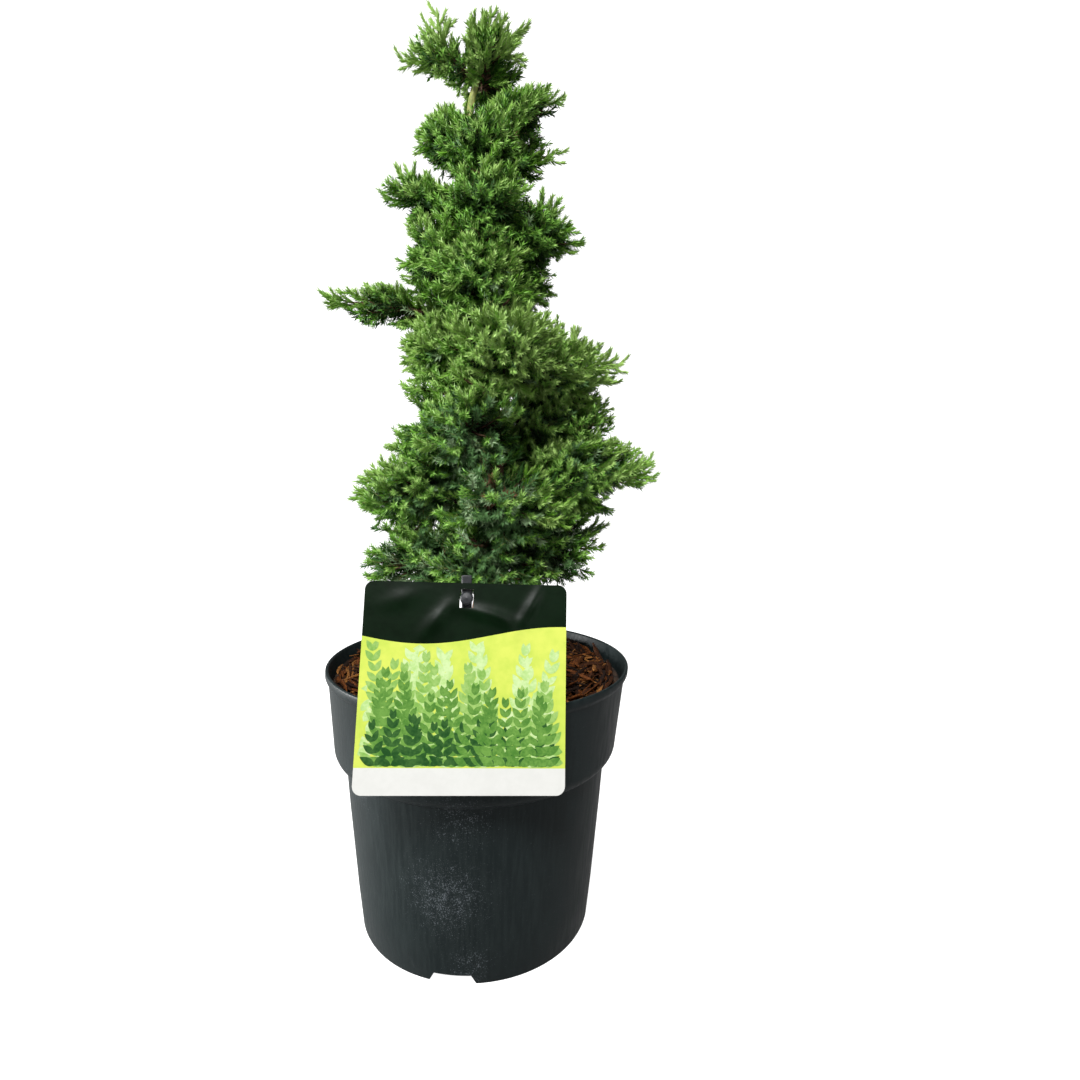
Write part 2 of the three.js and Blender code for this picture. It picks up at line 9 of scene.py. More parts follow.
import bpy
import numpy as np
from mathutils import Matrix, Vector


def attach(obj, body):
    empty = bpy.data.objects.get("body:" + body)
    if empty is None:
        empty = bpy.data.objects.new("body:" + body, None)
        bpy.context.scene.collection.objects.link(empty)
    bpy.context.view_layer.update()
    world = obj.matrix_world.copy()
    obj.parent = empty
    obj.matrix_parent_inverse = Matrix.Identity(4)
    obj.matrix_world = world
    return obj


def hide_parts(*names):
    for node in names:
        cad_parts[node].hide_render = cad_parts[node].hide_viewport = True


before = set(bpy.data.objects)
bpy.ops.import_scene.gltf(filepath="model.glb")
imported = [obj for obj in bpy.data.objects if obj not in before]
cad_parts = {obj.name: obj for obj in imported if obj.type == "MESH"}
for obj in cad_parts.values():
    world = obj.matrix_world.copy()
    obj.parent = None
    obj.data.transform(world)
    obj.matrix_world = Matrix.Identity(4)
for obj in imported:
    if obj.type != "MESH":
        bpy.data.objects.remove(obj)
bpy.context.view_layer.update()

MM = 0.001
GOLDEN_TURN = math.pi * (3 - math.sqrt(5))  # each fan of shoots stands this much further round
UP = np.array([0.0, 0.0, 1.0])
SKY_LIGHT = 0.048  # how bright the sky is as a source of light

# The pot
POT_HEIGHT = 188
FOOT_RADIUS = 82.6
COLLAR_BASE = 124  # height where the wide collar starts
COLLAR_FOOT_RADIUS = 92.3
SHOULDER_TOP = 133.5
SHOULDER_RADIUS = 100
BEAD_BASE = 180
WALL_TOP_RADIUS = 103.6
BEAD_RADIUS = 105.8
LIP_ROUND = 1.1  # radius of the lip's edge
LIP_SWELL = 0.005  # share by which the lip is wider from side to side, and narrower where the label hangs
LIP_SHIFT = 1.6  # how far the lip leans to the right
WALL = 1.8
FLOOR_UNDER = 8
FLOOR_TOP = 10.2
HUB_RADIUS = 24
POT_SIDES = 192
NOTCH_COUNT = 3
NOTCH_BEARING = 259.4
NOTCH_WIDTH = 31
NOTCH_TOP_WIDTH = 24
NOTCH_HEIGHT = 6.5
NOTCH_CUT = 8  # how far a notch's cutter reaches to both sides of the foot's wall
DRAIN_COUNT = 6
DRAIN_CIRCLE = 58
DRAIN_RADIUS = 6.5

# The soil and the mulch
SOIL_TOP = 177
SOIL_SPREAD = 4  # how much wider the pot is where the soil ends than at its shoulder
SOIL_UNDER = 2.2  # how far the soil lies below the mulch's height
MULCH_EDGE = 178.5  # height of the mulch at the wall
MULCH_HUMP = 5  # how much higher it lies in the middle
MULCH_LUMPS = 1.1

# The limbs
FLARE_RADIUS = 13
FLARE_HEIGHT = 16
BOUGH_BASE_RADIUS = 3.1
BOUGH_TIP_RADIUS = 1.9
BOUGH_MIN_OUT = 38  # masses nearer the stem than this have no bough
BOUGH_ENTRY = 0.82  # where a bough enters its mass, as a share of the mass's reach
BOUGH_RISE = 0.55  # how much a bough rises for each millimetre that it runs out
BOUGH_CLEAR = 26  # the lowest bough leaves the stem this far above the soil
MASS_RISE = 0.35  # the same rise for the stems in masses without a bough
RELIEF_MEAN = 0.06  # the bark's relief stands half above a limb's radius and half below
GREEN_STEM_FROM = 530  # above this height the stem is still green

# The stem's line: x, y, height and radius.
STEM = np.array(
    [
        (0, 0, SOIL_TOP, 8.8),
        (2, 1, 205, 7.8),
        (8, 2, 260, 7.0),
        (12, 3, 320, 6.1),
        (7, 2, 390, 5.0),
        (-1, 1, 460, 3.8),
        (-6, 0, 525, 2.8),
        (-5, 0, 562, 2.2),
        (1, 0, 584, 1.7),
    ]
)

# The masses of foliage: bearing and distance out from the pot's axis, height of the middle, how
# the long axis rises from level, and half sizes along, across and through that axis.
MASSES = {
    "crown_tip": (0, 6, 594, 84, 27, 24, 22),
    "top_left": (190, 25, 584, 16, 29, 21, 16),
    "top_back": (62, 20, 582, 30, 25, 24, 24),
    "high_right": (352, 34, 555, 12, 30, 24, 17),
    "high_left": (200, 22, 534, 8, 24, 24, 22),
    "high_back": (112, 27, 547, 20, 28, 30, 26),
    "high_front": (276, 24, 527, 22, 26, 28, 24),
    "neck_right": (8, 28, 525, 12, 26, 24, 16),
    "upper_left": (186, 41, 499, 12, 28, 24, 16),
    "upper_right": (349, 41, 475, 350, 34, 30, 24),
    "upper_front": (281, 31, 489, 18, 29, 32, 27),
    "upper_back": (72, 33, 498, 22, 31, 40, 30),
    "shoulder_left": (200, 31, 463, 10, 24, 32, 30),
    "arm_left": (187, 66, 429, 4, 41, 26, 16),
    "waist_right": (2, 29, 447, 8, 26, 30, 24),
    "waist_front": (270, 35, 446, 18, 30, 36, 27),
    "waist_back": (116, 39, 452, 18, 34, 44, 32),
    "belt_left": (207, 31, 403, 12, 24, 38, 36),
    "belt_front": (292, 48, 400, 14, 36, 44, 30),
    "belt_right": (354, 58, 392, 8, 45, 34, 24),
    "belt_back": (76, 49, 404, 16, 39, 50, 36),
    "middle_left": (200, 29, 352, 6, 26, 40, 34),
    "middle_right": (12, 58, 361, 6, 42, 40, 29),
    "middle_front": (262, 42, 349, 8, 33, 44, 32),
    "low_right": (352, 76, 322, 2, 53, 44, 29),
    "low_left": (187, 48, 307, 358, 41, 40, 29),
    "low_front": (292, 50, 303, 6, 35, 48, 33),
    "low_back": (112, 52, 341, 12, 43, 54, 40),
    "inner_back": (48, 42, 336, 8, 36, 36, 34),
    "foot_left": (200, 46, 261, 354, 38, 40, 29),
    "foot_right": (350, 51, 270, 354, 43, 44, 33),
    "foot_front": (272, 42, 259, 2, 30, 46, 24),
    "foot_back": (82, 48, 273, 6, 41, 50, 34),
}

# Places with no growth: hollows that run in from the front between the masses, and then bays in the
# crown's outline. Each is x, height and radius, and the y that it runs back to.
HOLLOWS = np.array(
    [
        (25, 345, 12, -34),
        (24, 325, 11, -34),
        (1, 350, 8, -46),
        (41, 343, 8, -34),
        (56, 368, 9, -30),
        (-21, 321, 6, -46),
        (-5, 550, 6, -4),
        (48, 549, 8, 60),
        (38, 515, 8, 60),
        (-50, 469, 6, 60),
        (-53, 491, 6, 60),
        (56, 459, 9, 60),
        (-48, 361, 9, 60),
        (106, 307, 9, 60),
        (84, 261, 6, 60),
        (-67, 283, 4, 60),
        (-54, 254, 4, 60),
    ]
)

# Single sprays that stand out of the crown's outline: the mass that bears them, x and height.
SPRAYS = (
    ("top_left", -27, 615),
    ("top_left", -19, 609),
    ("top_left", -53, 582),
    ("crown_tip", 34, 611),
    ("crown_tip", 30, 590),
    ("neck_right", 55, 539),
    ("upper_right", 42, 511),
    ("upper_right", 53, 504),
    ("upper_left", -53, 516),
    ("upper_left", -44, 517),
    ("arm_left", -102, 437),
    ("belt_front", 15, 368),
    ("belt_right", 52, 424),
    ("belt_right", 68, 423),
    ("belt_right", 101, 397),
    ("middle_right", 96, 372),
    ("low_right", 125, 331),
    ("low_left", -87, 307),
    ("foot_right", 91, 289),
    ("foot_right", 86, 304),
)

# The old, shaded strip down the crown's front: the middle's x and height, half width and half height.
SHADED_STRIP = (3, 292, 26, 62)
SHADED_FROM = -20  # it lies in front of this y
SHADED_DARKER = 0.22
SHADED_BLUE = 0.45  # share of its shoots that are bluish for their place alone
SHADED_SILVER = 0.08
DEAD_PATCH = np.array((11, -62, 314))  # a few dead shoots round this place in the dark
DEAD_REACH = 15
DEAD_SHARE = 0.35  # of the shoots in that patch
DEAD_ELSEWHERE = 0.0004
BLUE_BELOW = 0.62  # shoots less bright than this may be bluish or silvery
BLUE_SHARE = 1.2
SILVER_SHARE = 0.25
BLUE_TOP = 470  # above this height they are few
BLUE_FADE = 120  # and they grow fewer over this much below it

# How the foliage grows
FIRST_SEED = 20417
SEED_STEP = 97
FAN_AREA = 62  # of a mass's measure of size, for each fan of shoots in a layer
FAN_LENGTH = (21, 30)
FAN_SHORT = 0.16  # most that a fan falls short of its layer, as a share of the way out
FAN_OPENS = (24, 44)  # degrees between a fan's twig and its side shoots
FAN_TWIST = 0.8  # how much fans are turned about their twigs, in radians
SIDE_TWIST = 0.55  # how much their side shoots stand out of the fan
TWIG_SAG = 0.16  # most that a twig sags, as a share of its length
SHOOT_LIFT = 0.14  # how much side shoots turn up
SHOOT_SAG = 0.06  # how much the middle of a side shoot sags, as a share of its length
SHORTER = (1.0, 0.75, 0.5)  # lengths that are tried in turn for a side shoot, to keep it in the mass
END_BRIGHTER = 0.06  # how much brighter a twig's end shoot is
TONE_OUTWARD = 0.3  # how much brighter shoots are at a mass's surface than at its middle: painted shade inside the mass, partly also the older inner needles
TONE_SPREAD = 0.08
TONE_UPWARD = 0.14  # how much brighter a fan is that points up, as painted light from above
TONE_FREE = 0.12  # how much brighter it is where it stands clear of other masses, as painted light on the exposed growth
LAYERS = (  # how far out a mass's fans end, how many there are, how bright and how coarse they are; the inner layers are darker as painted shade
    (1.00, 1.00, 0.58, 1.0),
    (0.80, 0.70, 0.26, 1.7),
    (0.60, 0.60, 0.02, 2.6),
    (0.36, 0.25, 0.00, 3.0),
)
MEETING_REACH = 1.2  # how far past its reach a mass's shoots may go to close up with a neighbour
MEETING_WITHIN = 1.5  # and how near that neighbour has to be, as a share of its own reach
MEETING_SPARE = 6  # how far they may then go past the plane where the two meet
SPARE = 3  # how far all other shoots may
SEAM_STEP = 18  # between the fans that grow out along the seam of two masses
SEAM_REACH = 1.06
SEAM_COARSE = 1.4
SEAM_CLEAR = 0.92  # a fan along a seam ends further out than this share of any third mass's reach
SEAM_BRIGHTNESS = 0.42
SPRAY_REACH = 2.2  # how far past its mass's reach a single spray may go
SPRAY_BRIGHTNESS = 0.72
LIGHT_AND_FRESHNESS = {  # how much brighter the growth of some masses is: partly fresher growth, partly painted light on the lit masses and painted shade on the low ones
    "crown_tip": 0.20,
    "top_left": 0.17,
    "high_right": -0.04,
    "neck_right": -0.08,
    "high_front": -0.07,
    "upper_right": -0.17,
    "upper_front": -0.13,
    "upper_left": -0.08,
    "waist_right": -0.08,
    "waist_front": -0.06,
    "arm_left": -0.04,
    "belt_left": 0.14,
    "belt_front": 0.31,
    "belt_right": 0.19,
    "middle_left": -0.08,
    "middle_front": -0.11,
    "low_left": -0.07,
    "low_right": -0.06,
    "low_front": -0.08,
    "foot_left": -0.17,
    "foot_right": -0.13,
    "foot_front": -0.24,
}
UNDERSIDE = -0.35  # fans that point further down than this are on a mass's underside
UNDERSIDE_SKIP = 0.5  # share of them that are missing where they stand free
FREE = 1.2  # a fan stands free further out than this share of every other mass's reach
LEAST_ROOM = 0.4  # a fan that has less of its mass's reach than this doesn't grow
BURIED = 0.6  # nor does one that ends nearer another mass's middle than this share of its reach
BURIED_INWARD = 0.85  # the same for a fan that grows in towards the stem
OPENNESS = {  # share of the fans that are missing in some masses, where sky shows between them
    "crown_tip": 0.35,
    "top_left": 0.35,
    "top_back": 0.35,
    "arm_left": 0.35,
    "low_front": 0.08,
    "low_left": 0.06,
    "foot_front": 0.26,
    "foot_left": 0.26,
    "foot_right": 0.22,
}
SEAMLESS = 0.3  # masses more open than this have no fans along their seams
TWIG_BASE_RADIUS = 1.15
TWIG_TIP_RADIUS = 0.55
FEWEST_SHOOTS = 2  # a fan with no more than these doesn't grow
SHOOT_SPACING = 4.8  # between side shoots along a twig
SIDE_SHOOT = (12, 18)  # shortest and longest side shoot
END_SHOOT = (13, 19)
SHOOT_RADIUS = 0.45
WHORL_SPACING = 0.95  # between the rings of three needles
NEEDLE_LENGTH = 5.2
NEEDLE_WIDTH = 1.05
NEEDLE_SPLAY = 45  # degrees between a needle and its shoot
SPLAY_FRESH = 16  # how much closer needles lie on the brightest shoots
SPLAY_TIP = 5  # and at a shoot's tip
TIP_BRIGHTER = 0.36  # how much brighter a shoot's last needles are than its first
MOST_TRIANGLES = 190_000  # in one piece of needles

# The label
CARD_WIDTH = 117
CARD_HEIGHT = 118
CARD_THICKNESS = 0.8
CARD_CORNER = 5
CARD_LEAN = 18.2
CARD_TURN = 1.7
CARD_MIDDLE = -9.6
CARD_FOOT = 146.5
CARD_RIM_CLEAR = 0.8
CARD_COLUMNS = 74  # of points across its straight part
CORNER_POINTS = 8
CARD_ROWS = (6, 40, 24)  # rows of faces in its white, yellow and green fields
CARD_CREASES = (  # middle across and up the card, bearing, half length, half width and height
    (-17, 96, 52, 12, 4.0, 1.1),
    (13, 100, -14, 15, 3.6, 1.2),
    (37, 104, 62, 13, 3.4, 1.1),
    (27, 91, -40, 9, 3.0, 0.5),
    (-38, 108, 20, 10, 5.0, 0.5),
)
CARD_ROLL = 1.3  # how far its upper right corner rolls forward
CARD_ROLL_FROM = (30, 70)  # where that starts, across and up the card
CARD_ROLL_RUN = (28, 48)
BORDER_HEIGHT = 88  # the border of the yellow and the green field
BORDER_WAVE = 5.5
GAP = 0.3  # clearance between parts that touch
SPRIG_SPAN = 104  # how wide a row of printed sprigs is
LEAF_POINTS = 9  # along a printed leaf
PRINT_LIFT = 0.03  # how far the lowest row of sprigs lies over the card
PRINT_STEP = 0.025  # and each next row over the one below
SLOT_WIDTH = 8
SLOT_HEIGHT = 11
SLOT_BELOW_EDGE = 3.5
SLOT_MIDDLE = CARD_HEIGHT - SLOT_BELOW_EDGE - SLOT_HEIGHT / 2
SLOT_CUT = 12  # how far the slot's cutter reaches to both sides of the card
WHITE_BAND = 14.5
PEG_WIDTH = 6
PEG_THICKNESS = 2
PEG_FOOT = 148
PEG_OUT = 92  # how far the peg's foot stands from the pot's axis
PEG_TOP = 263
PEG_BEHIND = 3.6
PEG_HEAD_RADIUS = 3.8
PEG_SHANK_RADIUS = 2.2

# The floor that runs up into a wall
FLOOR_FRONT = -3000
FLOOR_BACK = 1500  # where the floor starts to curve up
COVE_RADIUS = 900
BACKDROP_TOP = 4200
BACKDROP_HALF_WIDTH = 4500

# The camera, in metres and radians
CAMERA_PLACE = (0, -0.473, 0.333)
CAMERA_PITCH = 0.1237  # downwards
CAMERA_ROLL = 0.0148
CAMERA_YAW = 0.0928  # to the right
CAMERA_LENS = 22.43


# Meshes and pieces


def mesh_from(name, points, faces):
    """A mesh from points in millimetres and faces that all have the same number of corners."""
    faces = np.asarray(faces, np.int32)
    mesh = bpy.data.meshes.new(name)
    mesh.vertices.add(len(points))
    mesh.vertices.foreach_set("co", (np.asarray(points) * MM).astype(np.float32).ravel())
    mesh.loops.add(faces.size)
    mesh.loops.foreach_set("vertex_index", faces.ravel())
    mesh.polygons.add(len(faces))
    mesh.polygons.foreach_set("loop_start", np.arange(0, faces.size, faces.shape[1], dtype=np.int32))
    mesh.update(calc_edges=True)
    return mesh


def new_object(name, data):
    """Puts a mesh, light or camera in the scene."""
    thing = bpy.data.objects.new(name, data)
    bpy.context.scene.collection.objects.link(thing)
    return thing


def add_piece(mesh, name, materials, replaces, smooth=False):
    """Puts a mesh in the scene as a piece of the plant, in place of the solids that it replaces."""
    piece = new_object(name, mesh)
    for material in materials:
        mesh.materials.append(material)
    if smooth:
        mesh.polygons.foreach_set("use_smooth", np.ones(len(mesh.polygons), bool))
    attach(piece, "root")
    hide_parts(*replaces)
    return piece


def unit(vectors):
    """The same directions at length one."""
    return vectors / np.maximum(np.linalg.norm(vectors, axis=-1, keepdims=True), 1e-9)


def ring_angles(sides):
    """Even steps of angle round a ring."""
    return np.arange(sides) * 2 * math.pi / sides


def off_axis(headings):
    """Of X, Y and Z, the one that each direction is furthest from."""
    return np.eye(3)[np.argmin(np.abs(headings), axis=1)]


def ring_faces(count, rings, sides):
    """The faces between neighbouring rings of points, on each of several limbs."""
    limb, ring, side = np.meshgrid(
        np.arange(count), np.arange(rings - 1), np.arange(sides), indexing="ij"
    )
    here = (limb * rings + ring) * sides
    after = (side + 1) % sides
    faces = np.stack([here + side, here + after, here + sides + after, here + sides + side], -1)
    return faces.reshape(-1, 4)


def tubes(lines, radii, sides):
    """Round limbs as points and faces. lines is limbs x rings x 3, radii limbs x rings (x sides)."""
    count, rings = lines.shape[:2]
    along = unit(np.gradient(lines, axis=1))
    first = unit(np.cross(along, off_axis(lines[:, -1] - lines[:, 0])[:, None, :]))
    second = np.cross(along, first)
    angle = ring_angles(sides)
    if radii.ndim == 2:
        radii = radii[:, :, None]
    spoke = (
        first[:, :, None, :] * np.cos(angle)[:, None]
        + second[:, :, None, :] * np.sin(angle)[:, None]
    )
    points = (lines[:, :, None, :] + spoke * radii[..., None]).reshape(-1, 3)
    return points, ring_faces(count, rings, sides)


def spikes(feet, tips, radius):
    """Thin stalks with three sides that taper to a point."""
    heading = tips - feet
    first = unit(np.cross(heading, off_axis(heading)))
    second = unit(np.cross(heading, first))
    corners = [
        feet + radius * (first * math.cos(angle) + second * math.sin(angle))
        for angle in ring_angles(3)
    ]
    points = np.stack([*corners, tips], 1).reshape(-1, 3)
    start = np.arange(len(feet))[:, None] * 4
    return points, np.concatenate([start + [0, 1, 3], start + [1, 2, 3], start + [2, 0, 3]])


def stacked(parts):
    """Several (points, faces) as one."""
    points = np.concatenate([part[0] for part in parts])
    starts = np.cumsum([0] + [len(part[0]) for part in parts[:-1]])
    faces = np.concatenate([part[1] + start for part, start in zip(parts, starts)])
    return points, faces


def applied(piece):
    """Applies the piece's modifiers."""
    bpy.context.view_layer.update()
    seen = piece.evaluated_get(bpy.context.evaluated_depsgraph_get())
    piece.data = bpy.data.meshes.new_from_object(seen)
    piece.modifiers.clear()
    return piece


def cut(piece, cutter_mesh):
    """Takes a closed mesh out of a piece."""
    cutter = new_object("cutter", cutter_mesh)
    difference = piece.modifiers.new("cut", "BOOLEAN")
    difference.operation = "DIFFERENCE"
    difference.solver = "EXACT"
    difference.object = cutter
    applied(piece)
    bpy.data.objects.remove(cutter)


# Shader groups: each effect is built once and placed in the materials that show it.


def new_group(name, inputs, outputs):
    """A shader group with number or colour inputs and outputs, and its two end nodes."""
    group = bpy.data.node_groups.new(name, "ShaderNodeTree")
    kinds = {"number": "NodeSocketFloat", "colour": "NodeSocketColor", "vector": "NodeSocketVector"}
    for label, kind in inputs.items():
        group.interface.new_socket(label, in_out="INPUT", socket_type=kinds[kind])
    for label, kind in outputs.items():
        group.interface.new_socket(label, in_out="OUTPUT", socket_type=kinds[kind])
    start = group.nodes.new("NodeGroupInput")
    end = group.nodes.new("NodeGroupOutput")
    return group, start, end


def noise_node(tree, coordinates, scale, detail=3.0, roughness=0.55):
    """Noise over the given coordinates. scale is a number or a socket."""
    noise = tree.nodes.new("ShaderNodeTexNoise")
    noise.inputs["Detail"].default_value = detail
    noise.inputs["Roughness"].default_value = roughness
    tree.links.new(coordinates, noise.inputs["Vector"])
    if isinstance(scale, (int, float)):
        noise.inputs["Scale"].default_value = scale
    else:
        tree.links.new(scale, noise.inputs["Scale"])
    return noise


def ramp_node(tree, value, low, high):
    """A smooth step from 0 at low to 1 at high."""
    step = tree.nodes.new("ShaderNodeMapRange")
    step.interpolation_type = "SMOOTHSTEP"
    step.inputs["From Min"].default_value = low
    step.inputs["From Max"].default_value = high
    tree.links.new(value, step.inputs["Value"])
    return step.outputs["Result"]


def math_node(tree, operation, first, second):
    """Two numbers or sockets joined by one operation."""
    node = tree.nodes.new("ShaderNodeMath")
    node.operation = operation
    for socket, value in zip(node.inputs, (first, second)):
        if isinstance(value, (int, float)):
            socket.default_value = value
        else:
            tree.links.new(value, socket)
    return node.outputs["Value"]


def vector_node(tree, operation, first, second):
    """Two vector sockets joined by one operation."""
    node = tree.nodes.new("ShaderNodeVectorMath")
    node.operation = operation
    tree.links.new(first, node.inputs[0])
    tree.links.new(second, node.inputs[1])
    return node.outputs


def mix_node(tree, share, first, second):
    """Two colours mixed by a share. Each colour is a tuple or a socket."""
    mix = tree.nodes.new("ShaderNodeMix")
    mix.data_type = "RGBA"
    tree.links.new(share, mix.inputs["Factor"])
    # The colour sockets share their names with those for numbers, so they are told by their place.
    for socket, colour in ((mix.inputs[6], first), (mix.inputs[7], second)):
        if isinstance(colour, tuple):
            socket.default_value = (*colour, 1)
        else:
            tree.links.new(colour, socket)
    return mix.outputs[2]


def build_mottle():
    """Two colours in soft patches, with finer flecks over them."""
    group, start, end = new_group(
        "mottle",
        {"Dark": "colour", "Light": "colour", "Scale": "number"},
        {"Colour": "colour", "Height": "number"},
    )
    place = group.nodes.new("ShaderNodeTexCoord").outputs["Object"]
    patches = noise_node(group, place, start.outputs["Scale"]).outputs["Fac"]
    finer = math_node(group, "MULTIPLY", start.outputs["Scale"], 5.3)
    flecks = noise_node(group, place, finer).outputs["Fac"]
    broad = math_node(group, "MULTIPLY", patches, 0.6)
    both = math_node(group, "ADD", broad, math_node(group, "MULTIPLY", flecks, 0.4))
    share = ramp_node(group, both, 0.36, 0.64)
    colour = mix_node(group, share, start.outputs["Dark"], start.outputs["Light"])
    group.links.new(colour, end.inputs["Colour"])
    group.links.new(both, end.inputs["Height"])
    return group


def build_fibres():
    """Long strands that run up the piece, as in peeling bark and torn wood."""
    group, start, end = new_group(
        "fibres",
        {"Dark": "colour", "Light": "colour", "Scale": "number", "Stretch": "vector"},
        {"Colour": "colour", "Height": "number"},
    )
    place = group.nodes.new("ShaderNodeTexCoord").outputs["Object"]
    stretched = vector_node(group, "MULTIPLY", place, start.outputs["Stretch"])["Vector"]
    strands = noise_node(group, stretched, start.outputs["Scale"], 5.0, 0.65).outputs["Fac"]
    share = ramp_node(group, strands, 0.36, 0.66)
    colour = mix_node(group, share, start.outputs["Dark"], start.outputs["Light"])
    group.links.new(colour, end.inputs["Colour"])
    group.links.new(strands, end.inputs["Height"])
    return group


def build_dust():
    """A mask of pale specks and smears, thicker round one place."""
    group, start, end = new_group(
        "dust",
        {"Place": "vector", "Reach": "number", "Scale": "number", "Cover": "number"},
        {"Mask": "number"},
    )
    place = group.nodes.new("ShaderNodeTexCoord").outputs["Object"]
    away = vector_node(group, "DISTANCE", place, start.outputs["Place"])["Value"]
    farness = math_node(group, "DIVIDE", away, start.outputs["Reach"])
    near = ramp_node(group, math_node(group, "SUBTRACT", 1.0, farness), 0.0, 1.0)
    specks = noise_node(group, place, start.outputs["Scale"], detail=2.0, roughness=0.6).outputs["Fac"]
    coarse = math_node(group, "MULTIPLY", start.outputs["Scale"], 0.16)
    clouds = noise_node(group, place, coarse).outputs["Fac"]
    cover = math_node(group, "MULTIPLY", math_node(group, "ADD", near, 0.1), start.outputs["Cover"])
    amount = math_node(group, "ADD", specks, math_node(group, "MULTIPLY", cover, clouds))
    mask = ramp_node(group, amount, 0.72, 0.86)
    group.links.new(mask, end.inputs["Mask"])
    return group


MOTTLE = build_mottle()
FIBRES = build_fibres()
DUST = build_dust()


def new_material(name, roughness, specular):
    """A material with its own Principled shader."""
    material = bpy.data.materials.new(name)
    material.use_nodes = True
    shader = material.node_tree.nodes["Principled BSDF"]
    shader.inputs["Roughness"].default_value = roughness
    shader.inputs["Specular IOR Level"].default_value = specular
    return material, material.node_tree, shader


def place_group(tree, group, **values):
    """A group in a material, with its inputs set."""
    node = tree.nodes.new("ShaderNodeGroup")
    node.node_tree = group
    for label, value in values.items():
        if isinstance(value, tuple) and node.inputs[label].type == "RGBA":
            value = (*value, 1)
        node.inputs[label].default_value = value
    return node


def add_bump(tree, shader, height, strength, depth):
    """A height that roughens the surface. depth is in millimetres."""
    bump = tree.nodes.new("ShaderNodeBump")
    bump.inputs["Strength"].default_value = strength
    bump.inputs["Distance"].default_value = depth * MM
    tree.links.new(height, bump.inputs["Height"])
    tree.links.new(bump.outputs["Normal"], shader.inputs["Normal"])


def toned(name, roughness, specular, group, **values):
    """A material that a group colours, with its tree, its shader and the group's outputs."""
    material, tree, shader = new_material(name, roughness, specular)
    outputs = place_group(tree, group, **values).outputs
    tree.links.new(outputs["Colour"], shader.inputs["Base Color"])
    return material, tree, shader, outputs


def mottled(name, dark, light, scale, roughness, bump=0.0):
    """A finish in two soft tones."""
    tones = {"Dark": dark, "Light": light, "Scale": scale}
    material, tree, shader, patches = toned(name, roughness, 0.3, MOTTLE, **tones)
    if bump:
        add_bump(tree, shader, patches["Height"], 0.8, bump)
    return material


def fibrous(name, dark, light, scale, stretch, roughness, bump):
    """A finish of strands in two tones."""
    tones = {"Dark": dark, "Light": light, "Scale": scale, "Stretch": stretch}
    material, tree, shader, strands = toned(name, roughness, 0.12, FIBRES, **tones)
    add_bump(tree, shader, strands["Height"], 0.9, bump)
    return material


def needle_green(name, dark, light, bands):
    """A needle's finish: two soft greens, with pale bands along its inner side."""
    material, tree, shader = new_material(name, 0.45, 0.12)
    leaf = place_group(tree, MOTTLE, Dark=dark, Light=light, Scale=90.0)
    inner_side = tree.nodes.new("ShaderNodeNewGeometry").outputs["Backfacing"]
    colour = mix_node(tree, math_node(tree, "MULTIPLY", inner_side, 0.4), leaf.outputs["Colour"], bands)
    tree.links.new(colour, shader.inputs["Base Color"])
    return material


# The needles' greens, from the shaded inside to the newest tips, with the tone of their bands.
NEEDLE_TONES = [
    ("needles_deep", (0.007, 0.030, 0.002), (0.016, 0.056, 0.005), (0.035, 0.080, 0.022)),
    ("needles_dark", (0.021, 0.075, 0.003), (0.042, 0.128, 0.008), (0.072, 0.160, 0.038)),
    ("needles_mid", (0.084, 0.216, 0.018), (0.130, 0.288, 0.030), (0.165, 0.315, 0.078)),
    ("needles_fresh", (0.150, 0.300, 0.044), (0.202, 0.357, 0.067), (0.238, 0.376, 0.122)),
    ("needles_tip", (0.194, 0.328, 0.067), (0.238, 0.376, 0.092), (0.278, 0.400, 0.140)),
]
NEEDLE_ODDS = [
    ("needles_blue", (0.024, 0.080, 0.016), (0.052, 0.132, 0.030), (0.110, 0.195, 0.085)),
    ("needles_silver", (0.078, 0.150, 0.056), (0.130, 0.212, 0.090), (0.235, 0.315, 0.190)),
    ("needles_dead", (0.040, 0.020, 0.009), (0.110, 0.060, 0.028), (0.140, 0.085, 0.045)),
]
BLUE, SILVER, DEAD = (len(NEEDLE_TONES) + i for i in range(len(NEEDLE_ODDS)))


# The pot


def shoulder(inset, lift):
    """The collar's foot: a quarter of an ellipse that leaves the body level and ends upright."""
    angle = np.linspace(0, math.pi / 2, 9)
    radius = COLLAR_FOOT_RADIUS - inset + (SHOULDER_RADIUS - COLLAR_FOOT_RADIUS) * np.sin(angle)
    height = COLLAR_BASE + lift + (SHOULDER_TOP - COLLAR_BASE) * (1 - np.cos(angle))
    return list(zip(radius, height))


